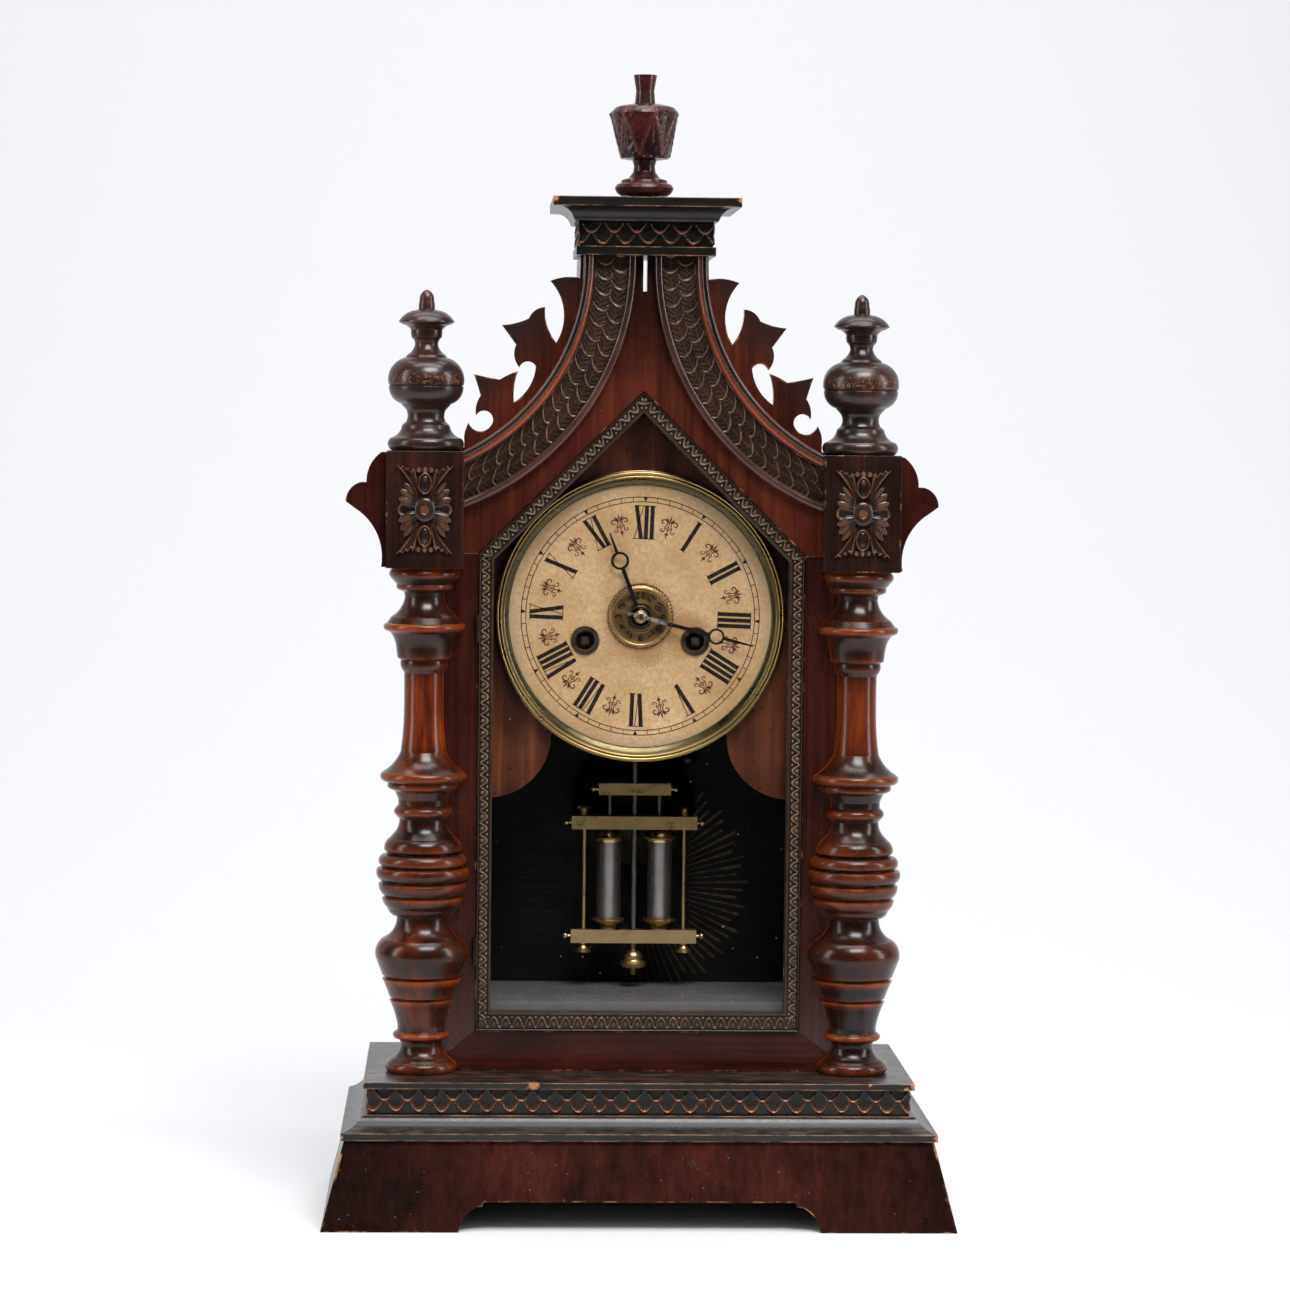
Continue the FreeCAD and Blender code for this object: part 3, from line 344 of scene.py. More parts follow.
def add_mesh(name, points, faces, key, body, crease, tone=None, replaces=None):
    """A new piece from points in mm. Faces meeting at more than the crease angle stay sharp."""
    data = bpy.data.meshes.new(name)
    data.from_pydata([tuple(p) for p in np.asarray(points, float) * MM], [], faces)
    if tone is not None:
        layer = data.attributes.new("tone", "FLOAT", "POINT")
        layer.data.foreach_set("value", np.asarray(tone, np.float32).ravel())
    data.validate()
    edit = bmesh.new()
    edit.from_mesh(data)
    bmesh.ops.recalc_face_normals(edit, faces=edit.faces)
    edit.to_mesh(data)
    edit.free()
    data.shade_smooth()
    data.set_sharp_from_angle(angle=math.radians(crease))
    data.materials.append(M[key])
    piece = add_object(name, data)
    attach(piece, body)
    if replaces:
        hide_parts(replaces)
    return piece


class Parts:
    """Points and faces gathered from several simple closed shapes, to make one piece."""

    def __init__(self):
        self.points, self.faces = [], []

    def add(self, points, faces):
        start = len(self.points)
        self.points += [tuple(p) for p in points]
        self.faces += [tuple(start + i for i in face) for face in faces]

    def plate(self, outline, y0, y1):
        """A flat outline in X and Z, with a thickness along Y."""
        n = len(outline)
        points = [(x, y0, z) for x, z in outline] + [(x, y1, z) for x, z in outline]
        sides = [(i, (i + 1) % n, n + (i + 1) % n, n + i) for i in range(n)]
        self.add(points, [tuple(range(n)), tuple(range(n, 2 * n))] + sides)

    def lathe(self, profile, centre, along, steps):
        """A closed profile of (distance along, radius) turned about an axis through the centre."""
        points, faces, n = [], [], len(profile)
        for k in range(steps):
            a = 2 * math.pi * k / steps
            for d, r in profile:
                p, q = r * math.cos(a), r * math.sin(a)
                offset = {"z": (p, q, d), "y": (p, d, q), "x": (d, p, q)}[along]
                points.append(tuple(c + o for c, o in zip(centre, offset)))
        for k in range(steps):
            for i in range(n):
                a, b = k * n, (k + 1) % steps * n
                j = (i + 1) % n
                faces.append((a + i, a + j, b + j, b + i))
        self.add(points, faces)

    def tube(self, low, high, inner, outer, centre, along="z", steps=32):
        self.lathe([(low, inner), (low, outer), (high, outer), (high, inner)], centre, along, steps)

    def make(self, name, key, body, slot, crease=40.0, replaces=None):
        data = add_mesh(name, self.points, self.faces, key, body, crease, replaces=replaces).data
        edit = bmesh.new()
        edit.from_mesh(data)
        bmesh.ops.remove_doubles(edit, verts=edit.verts, dist=WELD * MM)
        edit.to_mesh(data)
        edit.free()


def ribbon(parts, path, width, y0, y1):
    """A thin stroke along points in X and Z. width is a function of the share of the way along."""
    left, right = [], []
    for i, (x, z) in enumerate(path):
        x0, z0 = path[max(i - 1, 0)]
        x1, z1 = path[min(i + 1, len(path) - 1)]
        length = math.hypot(x1 - x0, z1 - z0)
        half = width(i / (len(path) - 1)) / 2
        nx, nz = -(z1 - z0) / length * half, (x1 - x0) / length * half
        left.append((x + nx, z + nz))
        right.append((x - nx, z - nz))
    n = len(path)
    outline = left + right
    points = [(x, y0, z) for x, z in outline] + [(x, y1, z) for x, z in outline]
    faces = []
    for i in range(n - 1):
        a, b, c, d = i, i + 1, n + i + 1, n + i
        faces += [(a, b, c, d), (2 * n + a, 2 * n + b, 2 * n + c, 2 * n + d)]
        faces += [(a, b, 2 * n + b, 2 * n + a), (d, c, 2 * n + c, 2 * n + d)]
    for a, d in ((0, n), (n - 1, 2 * n - 1)):
        faces.append((a, d, 2 * n + d, 2 * n + a))
    parts.add(points, faces)


def relief(name, us, vs, height, place, back, key, replaces=None, body="case"):
    """A carved strip. height(u, v) gives depth and tone; place(u, v, h) puts a point in space."""
    u, v = np.meshgrid(np.asarray(us, float), np.asarray(vs, float), indexing="ij")
    h, tone = height(u, v)
    front = np.stack(place(u, v, h), -1)
    rear = np.stack(place(u[:, [0, -1]], v[:, [0, -1]], np.full((len(us), 2), float(back))), -1)
    n, m = u.shape
    points = np.concatenate([front.reshape(-1, 3), rear.reshape(-1, 3)])
    grid = np.arange(n * m).reshape(n, m)
    edge = n * m + np.arange(2 * n).reshape(n, 2)
    faces = np.stack([grid[:-1, :-1], grid[1:, :-1], grid[1:, 1:], grid[:-1, 1:]], -1)
    faces = faces.reshape(-1, 4).tolist()
    for i in range(n - 1):
        faces.append((edge[i, 0], edge[i, 1], edge[i + 1, 1], edge[i + 1, 0]))
        faces.append((grid[i, 0], edge[i, 0], edge[i + 1, 0], grid[i + 1, 0]))
        faces.append((grid[i, -1], grid[i + 1, -1], edge[i + 1, 1], edge[i, 1]))
    for i in (0, n - 1):
        faces.append((*grid[i].tolist(), edge[i, 1], edge[i, 0]))
    tones = np.concatenate([tone.ravel(), np.zeros(2 * n)])
    add_mesh(name, points, faces, key, body, 70.0, tones, replaces)


def turned_faces(n, m):
    """Faces between n lines of m points that go once round an axis."""
    return [(i * m + j, (i + 1) % n * m + j, (i + 1) % n * m + j + 1, i * m + j + 1)
            for i in range(n) for j in range(m - 1)]


def steps(low, high, size):
    """Even places from low to high, about a size apart."""
    return np.linspace(low, high, max(2, int(round((high - low) / size)) + 1))


def unit(x):
    return np.clip(x, 0, 1)


def smooth(x, low, high):
    t = unit((x - low) / (high - low))
    return t * t * (3 - 2 * t)


def bell(x, middle, width):
    return np.exp(-((x - middle) / width) ** 2)


def dome(x, radius=1.0):
    return np.sqrt(unit(1 - (x / radius) ** 2))


# ------------------------ materials
# Their colours here are in thousandths.
M = {
    "stain_x": wood("stained_wood_level", (14, 4, 3), (34, 7, 5), (55, 12, 7), 0.25, "x", coat=0.0,
        shine=0.2),
    "stain_z": wood("stained_wood_upright", (12, 3, 2), (28, 5, 3), (45, 9, 5), 0.2),
    "crocket": wood("crocket_wood", (20, 5, 3), (58, 11, 5), (90, 19, 7), 0.3, extra=crocket_tips),
    "block": wood("block_wood", (8, 4, 3), (17, 7, 5), (40, 10, 6), 0.15),
    "plinth": wood("stained_plinth", (8, 3, 2), (28, 6, 3.5), (50, 11, 6), 0.4, gloss=0.28, coat=0.08,
        extra=plinth_marks, shine=0.3),
    "gable": wood("stained_gable", (26, 6, 3), (52, 10, 5), (90, 18, 7), 0.1, extra=gable_fade,
        mottle=14.0),
    # gable_stripes paints over this one's stain
    "roll": wood("moulded_roll", (100, 100, 100), (200, 200, 200), (300, 300, 300), 0.3,
        worn=(220, 100, 60), extra=gable_stripes, coat=0.4),
    "turned": wood("turned_wood", (4, 2, 2), (14, 4, 2), (46, 10, 4), 1.15, worn=ORANGE, coat=0.10,
        coat_rough=0.20, extra=column_wear, edge=4.0, dirt=3.2, grime=0.74, shine=0.3),
    "finial": wood("turned_finial", (7, 4, 4), (18, 8, 6), (48, 15, 10), 0.55, worn=(120, 50, 25),
        gloss=0.30, coat=0.12, extra=finial_band, edge=0.6, dirt=2.0),
    "urn": carved("urn_wood", (8, 4, 4), (50, 8, 7), (70, 14, 10), 0.24),
    "ebony": wood("ebonised_wood", (4, 4, 4), (8, 7, 7), (14, 12, 11), 0.7, "x", gloss=0.3, coat=0.0,
        extra=shelf_marks, relief=0.05, edge=0.6),
    "soft": wood("softwood", (20, 12, 8), (50, 30, 18), (90, 55, 34), 0.2, gloss=0.6, coat=0.0),
    "veneer": wood("striped_veneer", (8, 3, 2), (48, 13, 6), (150, 43, 16), 0.0, gloss=0.3, mottle=9.0,
        coat=0.0),
    "sash": wood("sash_wood", (5, 3, 2), (12, 5, 4), (25, 9, 6), 0.2, coat=0.0),
    "side": wood("case_side_wood", (12, 4, 3), (35, 9, 6), (60, 16, 9), 0.3, gloss=0.36),
    "frieze": carved("carved_frieze", (3, 2, 2), (10, 6, 4), (300, 90, 20)),
    "band": carved("carved_band", (7, 4, 3), (22, 10, 6), (160, 70, 28)),
    "rosette": carved("carved_rosette", (8, 5, 5), (20, 12, 10), (140, 55, 22), 0.20),
    "trim": carved("embossed_trim", (9, 5, 3.5), (24, 13, 8), (330, 190, 95), 0.34),
    "brass": metal("worn_brass", (620, 450, 210), (400, 270, 120), 0.32, 60.0, 0.5, 0.25),
    "bezel": metal("aged_bezel_brass", (460, 330, 130), (240, 170, 70), 0.30, 20.0, 0.6,
        extra=bezel_shadow),
    "works": metal("clock_brass", (420, 300, 120), (220, 140, 60), 0.3),
    "steel": metal("plain_steel", (220, 210, 200), (100, 85, 75), 0.34),
    "dark_steel": metal("dark_steel", (45, 42, 40), (15, 14, 13), 0.35),
    "spring": metal("spring_steel", (160, 170, 200), (70, 70, 80), 0.3),
    "tube": metal("polished_tube", (800, 760, 730), (550, 500, 470), 0.42, 90.0),
    "bell": metal("bell_metal", (30, 28, 16), (13, 12, 7), 0.5, 30.0),
    "collar": metal("bronze_collar", (170, 115, 95), (70, 45, 38), 0.4),
    "alarm": metal("tarnished_disc", (440, 270, 120), (240, 145, 62), 0.36, 60.0, 0.8, 0.6),
    "digit": metal("dark_digits", (60, 40, 20), (30, 20, 12), 0.4),
    "hinge": metal("hinge_brass", (50, 32, 18), (20, 13, 8), 0.4),
}


def dial_paper():
    """Cream printed paper gone brown: foxing, a darker middle, and painted shade under the bezel."""
    s = Shader("dial_paper", Specular_IOR_Level=0.2)
    cloud = s.noise(34.0, 5.0, 0.65)
    browns = [(0.0, (0.31, 0.195, 0.085)), (0.5, (0.39, 0.265, 0.130)), (1.0, (0.45, 0.33, 0.185))]
    colour = s.ramp(s.span(cloud, 0.3, 0.7), browns)
    fox = s.span(s.noise(420.0, 6.0, 0.75), 0.40, 0.68)
    colour = s.mix(s.times(fox, 0.75), colour, (0.25, 0.13, 0.05))
    for centre, radius, strength in (
        ((0.0, 0.0, DIAL_Z - 4.0), 24.0, 0.55), ((24.0, 0.0, DIAL_Z - 10.0), 14.0, 0.55),
        ((-22.0, 0.0, DIAL_Z - 20.0), 10.0, 0.2), ((-15.0, 0.0, DIAL_Z + 14.0), 8.0, 0.2),
        ((4.0, 0.0, DIAL_Z - 19.0), 9.0, 0.5),
    ):
        stain = s.spot(centre, radius, 0.3)
        colour = s.mix(s.times(stain, strength), colour, (0.21, 0.11, 0.042))
    # painted shade: the paper darkens to grey-brown towards the bezel
    rim = s.span(s.math("ADD", s.reach(DIAL_AT), s.times(cloud, 0.006)), 0.0665, 0.0735)
    colour = s.mix(s.times(rim, 0.6), colour, (0.19, 0.15, 0.09))
    s.colour(colour)
    s.uneven(cloud, 0.5, 0.7)
    s.bump(s.noise(700.0, 3.0, 0.6), 0.02)
    return s.material


def ink(name, colour, faded):
    s = Shader(name, Specular_IOR_Level=0.15)
    s.colour(s.mix(s.span(s.noise(500.0, 4.0, 0.7), 0.45, 0.75), colour, faded))
    s.uneven(s.noise(200.0), 0.45, 0.65)
    return s.material


def blued_steel(name, bright_radius):
    """Blued hands gone brown-grey, rubbed to bright metal within a distance of the centre."""
    s = Shader(name, Metallic=0.85)
    near = s.spot((0.0, -5.0, DIAL_Z), bright_radius, 0.25)
    scratch = s.span(s.noise(260.0, 6.0, 0.75), 0.40, 0.58)
    bright = s.times(near, scratch)
    s.colour(s.mix(bright, (0.030, 0.024, 0.022), (0.62, 0.60, 0.58)))
    s.rough(s.span(scratch, 0.0, 1.0, 0.3, 0.42))
    return s.material


def black_card():
    s = Shader("black_card", Specular_IOR_Level=0.15)
    card = s.ramp(s.noise(40.0), [(0.3, (0.002, 0.0023, 0.0027)), (0.7, (0.004, 0.004, 0.004))])
    s.colour(specks(s, card, 300.0, 0.4, (0.05, 0.05, 0.045)))
    s.uneven(s.noise(90.0), 0.5, 0.7)
    return s.material


def dusty_board():
    """Dull grey wood under years of dust."""
    s = Shader("dusty_board", Specular_IOR_Level=0.5)
    cloud = s.noise(60.0, 4.0, 0.6)
    dust = s.span(cloud, 0.3, 0.7)
    s.colour(s.ramp(dust, [(0.0, (0.100, 0.096, 0.095)), (1.0, (0.112, 0.109, 0.109))]))
    s.uneven(cloud, 0.22, 0.30)
    return s.material


def gilt():
    """Printed gold, worn away unevenly, and painted black towards the left as painted shade."""
    s = Shader("worn_and_shaded_gilt", Metallic=0.6)
    worn = s.span(s.noise(240.0, 5.0, 0.7), 0.42, 0.62)
    # painted shade: the gold turns to black towards the left side of the sunburst
    side = s.span(s.axis(0), -0.012, 0.032)
    colour = s.mix(worn, (0.075, 0.048, 0.023), (0.022, 0.014, 0.008))
    s.colour(s.mix(side, (0.003, 0.003, 0.003), colour))
    s.rough(s.span(worn, 0.0, 1.0, 0.4, 0.6))
    return s.material


def clear_glass():
    """Flat old glass: clear but for its surface reflection, a thin film and a little dust."""
    s = Shader("door_glass", Metallic=0.9)
    facing = s.node("ShaderNodeLayerWeight", {"Blend": 0.35}).outputs["Facing"]
    film = s.times(s.math("POWER", facing, 4.0), 0.35)
    dust = s.span(s.noise(430.0, 1.0, 0.3), 0.80, 0.83)
    s.alpha(s.math("MAXIMUM", film, s.times(dust, 0.5)))
    s.colour(s.mix(dust, (0.80, 0.84, 0.84), (0.55, 0.53, 0.50)))
    s.rough(s.span(dust, 0.0, 1.0, 0.03, 0.8))
    return s.material


def jar_glass():
    s = Shader("jar_glass", IOR=1.45)
    rim = s.node("ShaderNodeLayerWeight", {"Blend": 0.35}).outputs["Facing"]
    smear = s.noise(120.0, 3.0, 0.6, (1, 1, 0.3))
    s.alpha(s.math("ADD", s.times(rim, 0.45), s.span(smear, 0.3, 0.8, 0.05, 0.14)))
    s.colour(s.ramp(smear, [(0.3, (0.05, 0.045, 0.04)), (0.7, (0.10, 0.09, 0.08))]))
    s.uneven(smear, 0.08, 0.16)
    return s.material


M["paper"] = dial_paper()
M["ink"] = ink("black_ink", (0.006, 0.005, 0.005), (0.03, 0.022, 0.015))
M["red"] = ink("red_brown_ink", (0.060, 0.011, 0.006), (0.13, 0.040, 0.020))
M["blued"] = blued_steel("blued_steel", 1.0)
M["worn_hand"] = blued_steel("worn_minute_hand", 16.0)
M["card"] = black_card()
M["dusty"] = dusty_board()
M["gilt"] = gilt()
M["glass"] = clear_glass()
M["jar"] = jar_glass()

FINISH = {
    "stain_x": "bottom_rail",
    "block": "corner_blocks",
    "stain_z": "frame_stiles block_wings",
    "crocket": "crockets",
    "plinth": "plinth_front plinth_sides",
    "gable": "gable_boards gable_apex",
    "roll": "gable_mouldings",
    "turned": "column_left column_right",
    "finial": "side_finials",
    "ebony": "base_moulding base_top base_frieze cap_fillet cap_frieze cap_plate",
    "side": "case_sides roof_sheets",
    "soft": "plinth_back back_board glass_beads",
    "veneer": "dial_board",
    "sash": "door_frame",
    "glass": "door_glass",
    "card": "backdrop_card",
    "paper": "dial_plate",
    "collar": "winding_grommets",
    "blued": "hour_hand",
    "worn_hand": "minute_hand",
    "works": "movement_plates cannon_pinion minute_wheel hour_pipe centre_arbor third_wheel "
             "escape_wheel great_wheel_going great_wheel_alarm alarm_escape_wheel",
    "dark_steel": "alarm_hammer",
    "steel": "movement_posts verge winding_arbor_going winding_arbor_alarm",
    "spring": "mainsprings",
    "brass": "pendulum_frame rating_nut",
    "bell": "alarm_bell",
    "hinge": "hinge_case_leaves hinge_door_leaves",
}
for key, names in FINISH.items():
    for node_name in names.split():
        for place in nodes[node_name].material_slots:
            place.link = "OBJECT"
            place.material = M[key]


# ------------------------ carved scale strips
SCALE_PITCH = 11.8
SCALE_HALF = 4.6
SCALE_RISE = 4.6
SEAMS = (-22.2, 35.0)


def scales(u, v, upper_tip, lower_tip, phase, fans):
    """Two rows of overlapping pointed scales hanging from the top. v is the height in the strip."""
    h = np.full(u.shape, 0.15)
    tone = np.zeros(u.shape)
    for tip, shift, rubbed in ((lower_tip, 0.5, 0.9), (upper_tip, 0.0, 1.0)):
        k = (u - phase) / SCALE_PITCH - shift
        d = np.abs(k - np.round(k)) * SCALE_PITCH
        uneven = 0.25 * np.sin(5.1 * np.round(k) + 3 * shift)
        above = v - (tip + uneven + SCALE_RISE * (d / SCALE_HALF) ** 1.9)
        inside = (above > 0) & (d < SCALE_HALF * 1.12)
        ridge = bell(above, 0.5, 0.42)
        dish = 0.55 - 0.05 * above + 0.12 * bell(d, 0, 0.5) + 0.06 * np.cos(d * 4.0)
        body = dish + 0.65 * ridge * smooth(SCALE_HALF * 1.12 - d, 0, 1.2)
        h = np.where(inside, np.maximum(body, 0.3), h)
        fan = fans * (shift > 0) * smooth(3.6 - above, 0, 2.5) * (0.6 + 0.4 * np.cos(d * 4.0))
        line = ridge * rubbed * smooth(3.9 - d, 0, 2.6)
        tone = np.where(inside, unit(line + fan), tone)
    return h, tone


def frieze_strip(name, along, up, place, phase, tips=(6.7, 1.0), fans=0.4):
    """A strip of scales. along and up are its two ranges; place(u, z, h) puts a point in space."""
    relief(name, steps(*along, 0.42), steps(0.0, up[1] - up[0], 0.32),
           lambda u, v: scales(u, v, *tips, phase, fans),
           lambda u, v, h: place(u, up[0] + v, h), -0.6, "frieze")


BASE_UP = (FRIEZE_LOW.z + 0.1, FRIEZE_HIGH.z - 0.1)
CAP_UP = (CAP_LOW.z, CAP_HIGH.z)
CAP_TIPS = (6.6, 0.9)
SEAM_HALF = 0.12
ends = (FRIEZE_LOW.x, *SEAMS, FRIEZE_HIGH.x)
for number, phase in enumerate((-132.0, -15.0, 40.4)):
    frieze_strip(f"frieze_front_{number}", (ends[number] + SEAM_HALF, ends[number + 1] - SEAM_HALF), BASE_UP,
                 lambda u, z, h: (u, FRIEZE_LOW.y - h, z), phase)


def flank(edge, side):
    """Puts a strip on a side face, facing away from the middle."""
    return lambda u, z, h: (edge + side * h, u, z)


for side, tag in SIDES:
    frieze_strip(f"frieze_{tag}", (FRIEZE_LOW.y, FRIEZE_HIGH.y - 0.5), BASE_UP,
                 flank(FRIEZE_HIGH.x * side, side), -49.0)
    frieze_strip(f"cap_frieze_{tag}", (CAP_LOW.y, CAP_HIGH.y), CAP_UP,
                 flank(CAP_HIGH.x * side, side), CAP_LOW.y + 5.0, CAP_TIPS, 0.0)
    edge = CAP_LOW.y if side < 0 else CAP_HIGH.y
    frieze_strip("cap_frieze_front" if side < 0 else "cap_frieze_back", (CAP_LOW.x, CAP_HIGH.x), CAP_UP,
                 lambda u, z, h, edge=edge, side=side: (u, edge + side * h, z), 6.8, CAP_TIPS, 0.0)


# ------------------------ leaf band on the gable
BAND_PITCH = 10.6
BAND_TOP_ANGLE = math.asin((ARC_Z - BAND_HIGH.z) / R_SCALES_OUT)
BAND_STOP_ANGLE = math.radians(86.0)
BAND_MEAN_R = 125.0


def band_leaves(u, v):
    """u is the arc length from the cap, v the distance out from the inner edge of the band."""
    width = R_SCALES_OUT - R_SCALES_IN
    row = width / 2
    h = np.full(u.shape, 0.1)
    tone = np.zeros(u.shape)
    for base, shift in ((0.0, 0.0), (row, 0.45)):
        w = v - base - row / 2
        for offset in (0, 1):
            k = np.floor(u / BAND_PITCH - shift) + offset
            tip = (k + shift + 0.62) * BAND_PITCH
            skew = 0.1 + 0.75 * u / u.max()
            edge = tip + skew * w - 4.6 * (np.abs(w) / (row * 0.56)) ** 2.6
            above = edge - u
            start = tip - BAND_PITCH * 1.25
            inside = (above > 0) & (u > start) & (np.abs(w) < row * 0.56)
            ridge = bell(above, 0.5, 0.42)
            rib = bell(w, 0, 0.4)
            side_vein = 0.5 + 0.5 * np.cos((u - tip) * 1.9 + np.abs(w) * 1.9)
            body = 0.30 + 0.085 * (u - start) / BAND_PITCH * 6 + 0.30 * ridge
            body = body + 0.22 * rib + 0.16 * side_vein * (1 - rib)
            take = inside & (body > h - 0.25)
            shine = unit(ridge + 0.12 * rib + 0.06 * side_vein)
            tone = np.where(take, shine, tone)
            h = np.where(take, body, h)
    return h, tone


BAND_LENGTH = (BAND_STOP_ANGLE - BAND_TOP_ANGLE) * BAND_MEAN_R
BAND_WIDTH = R_SCALES_OUT - R_SCALES_IN
for side, tag in SIDES:
    def place(u, v, h, side=side):
        radius = R_SCALES_IN + v
        low = np.arcsin((ARC_Z - BAND_HIGH.z) / radius)
        high = np.arccos(unit((ARC_X - BAND_HIGH.x) / radius))
        angle = low + (high - low) * (u / BAND_LENGTH)
        return side * (ARC_X - radius * np.cos(angle)), BAND_HIGH.y + 0.2 - h, ARC_Z - radius * np.sin(angle)

    relief(f"gable_leaves_{tag}", steps(0, BAND_LENGTH, 0.36), steps(0.15, BAND_WIDTH - 0.15, 0.33),
           band_leaves, place, 0.0, "band", "gable_scales")


# ------------------------ rosettes
def petal(x, z, angle, r0, r1, half, round_at, dished, lift):
    """One petal from radius r0 to r1 at an angle, as a height and a tone."""
    a = math.radians(angle)
    along = x * math.cos(a) + z * math.sin(a)
    across = -x * math.sin(a) + z * math.cos(a)
    t = (along - r0) / (r1 - r0)
    shape = np.sin(np.pi * unit(t) ** round_at) ** 0.55 * half + 0.01
    s = np.abs(across) / shape
    inside = (t > 0) & (t < 1) & (s < 1)
    crown = dome(s)
    if dished:
        rim = bell(s, 0.80, 0.16) + 0.8 * bell(t, 0.93, 0.06)
        body = 0.75 + 0.9 * unit(rim) - 0.3 * crown
        tone = unit(rim) * 0.55
    else:
        body = 0.5 + 1.3 * crown
        tone = 0.6 * bell(s, 0.1, 0.35) * smooth(t, 0.25, 0.6)
    body = body * lift * (0.55 + 0.45 * np.sin(np.pi * unit(t)))
    return np.where(inside, body, 0), np.where(inside, tone, 0)


def rosette_height(u, v):
    x, z = np.abs(u), np.abs(v)
    h = np.full(u.shape, -0.5)
    tone = np.zeros(u.shape)
    shapes = [
        petal(x, z, 0, 3.0, 14.2, 3.9, 1.5, True, 1.25), petal(x, z, 24, 3.5, 14.8, 2.5, 1.3, False, 1.1),
        petal(x, z, 40, 4.5, 16.4, 2.3, 1.3, False, 0.9), petal(x, z, 53, 6.0, 17.6, 1.9, 1.2, False, 0.8),
    ]
    for body, shine in shapes:
        higher = body > np.maximum(h, 0.05)
        tone = np.where(higher, shine, tone)
        h = np.where(higher, body, h)
    # corner leaves: a trough between two ridges that widens towards the corner
    a = (z - 7.0) / 14.6
    inner, outer = 3.0 + 2.4 * a**1.3, 4.2 + 9.4 * a**1.35
    top = 22.4 - 2.6 * smooth(12.5 - x, 0, 8.0) + 0.5 * np.cos(x * 2.2)
    inside = (a > 0) & (x > inner) & (x < outer) & (z < top)
    w = (x - inner) / (outer - inner + 1e-6)
    ridges = unit(bell(w, 0.92, 0.10) + 0.8 * bell(w, 0.08, 0.10) + bell(top - z, 0.4, 0.35))
    folds = 0.5 + 0.5 * np.cos(w * 15.0)
    body = 0.6 + 1.2 * ridges + 0.35 * folds * a
    h = np.where(inside, np.maximum(body, h), h)
    tone = np.where(inside, ridges * 0.8 + 0.12 * folds, tone)
    # oval boss at the head and the foot
    oval = np.hypot(x / 3.7, (z - 13.6) / 5.9)
    h = np.where(oval < 1, 1.0 + 1.3 * bell(oval, 0.88, 0.10) + 1.1 * dome(oval, 0.7), h)
    tone = np.where(oval < 1, 0.7 * bell(oval, 0.88, 0.1) + 0.5 * bell(np.hypot(x, z - 16.2), 0, 1.1), tone)
    crest = (z > 19.4) & (z < 21.9 - 0.12 * x + 0.5 * np.cos(x * 1.9)) & (x < 6.5)
    h = np.where(crest, np.maximum(h, 1.2 + 0.6 * np.cos(x * 1.9)), h)
    tone = np.where(crest, 0.45 + 0.3 * np.cos(x * 1.9), tone)
    button = np.hypot(x / 5.3, z / 6.4)
    body = 1.1 + 1.7 * dome(button)
    flat = np.hypot(x, z)
    body = np.where(flat < 2.3, np.minimum(body, 2.35), body)
    h = np.where(button < 1, body, h)
    tone = np.where(button < 1, np.where(flat < 2.2, 0.95, 0.12), tone)
    return np.minimum(h, 2.9), unit(tone)


ROSETTE_HALF_X, ROSETTE_HALF_Z, ROSETTE_STEP = 14.5, 23.0, 0.24
mid_z = (ROSETTE_LOW.z + ROSETTE_HIGH.z) / 2
for side, tag in SIDES:
    centre = side * (ROSETTE_HIGH.x - ROSETTE_HALF_X)
    relief(f"rosette_{tag}", steps(-ROSETTE_HALF_X, ROSETTE_HALF_X, ROSETTE_STEP),
           steps(-ROSETTE_HALF_Z, ROSETTE_HALF_Z, ROSETTE_STEP), rosette_height,
           lambda u, v, h, centre=centre: (centre + u, ROSETTE_HIGH.y - h, mid_z + v), -1.2,
           "rosette", "rosettes")


# ------------------------ embossed trim round the door
LEAF_PITCH = 6.3
TRIM_W, TRIM_BOTTOM_W = 7.4, 9.4
DOOR_FACE_Y = -15.0


def trim_height(width):
    """A row of leaves with beads between their feet, for a strip of this width. v runs from 0 to 1."""
    def height(u, v):
        v = v * width
        lip = width - 1.5
        k = u / LEAF_PITCH
        d = np.abs(k - np.round(k)) * LEAF_PITCH
        tip = lip - 0.7
        length = tip - 1.3
        edge = tip - length * (d / (LEAF_PITCH * 0.46)) ** 1.8
        off = v - edge
        ridge = bell(off, -0.35, 0.36) * (v > 1.1)
        inside = (off < 0) & (v > 1.1)
        core = bell(d, 0, 0.55) * bell(v, 0.45 * tip, 1.1)
        h = np.where(inside, 0.9 + 0.55 * core, 0.55) + 0.95 * ridge
        tone = unit(ridge + 0.35 * core)
        bead = np.hypot(d - LEAF_PITCH / 2, v - tip + 0.3)
        h += np.where(bead < 0.62, 0.9 * dome(bead, 0.62), 0)
        tone = np.maximum(tone, 0.75 * (bead < 0.45))
        boss = np.hypot(d - LEAF_PITCH / 2, (v - 1.55) * 1.2)
        h += np.where(boss < 0.85, 0.8 * dome(boss, 0.85), 0)
        tone = np.maximum(tone, 0.55 * (boss < 0.5))
        outer = smooth(0.75 - v, 0, 0.35)
        inner = smooth(v, lip, lip + 0.35)
        h = h * (1 - outer) * (1 - inner) + 1.9 * outer + (1.5 - 0.35 * (v - lip)) * inner
        tone = tone * (1 - inner) * (1 - outer) + 0.04 * outer + 0.04 * inner
        return h + 1.2, unit(tone)
    return height


def door_corners(inset, bottom):
    half = DOOR_HIGH.x - inset
    apex = DOOR_HIGH.z - inset * math.sqrt(2)
    low = DOOR_LOW.z + bottom
    return [(half, low), (half, apex - half), (0.0, apex), (-half, apex - half), (-half, low)]


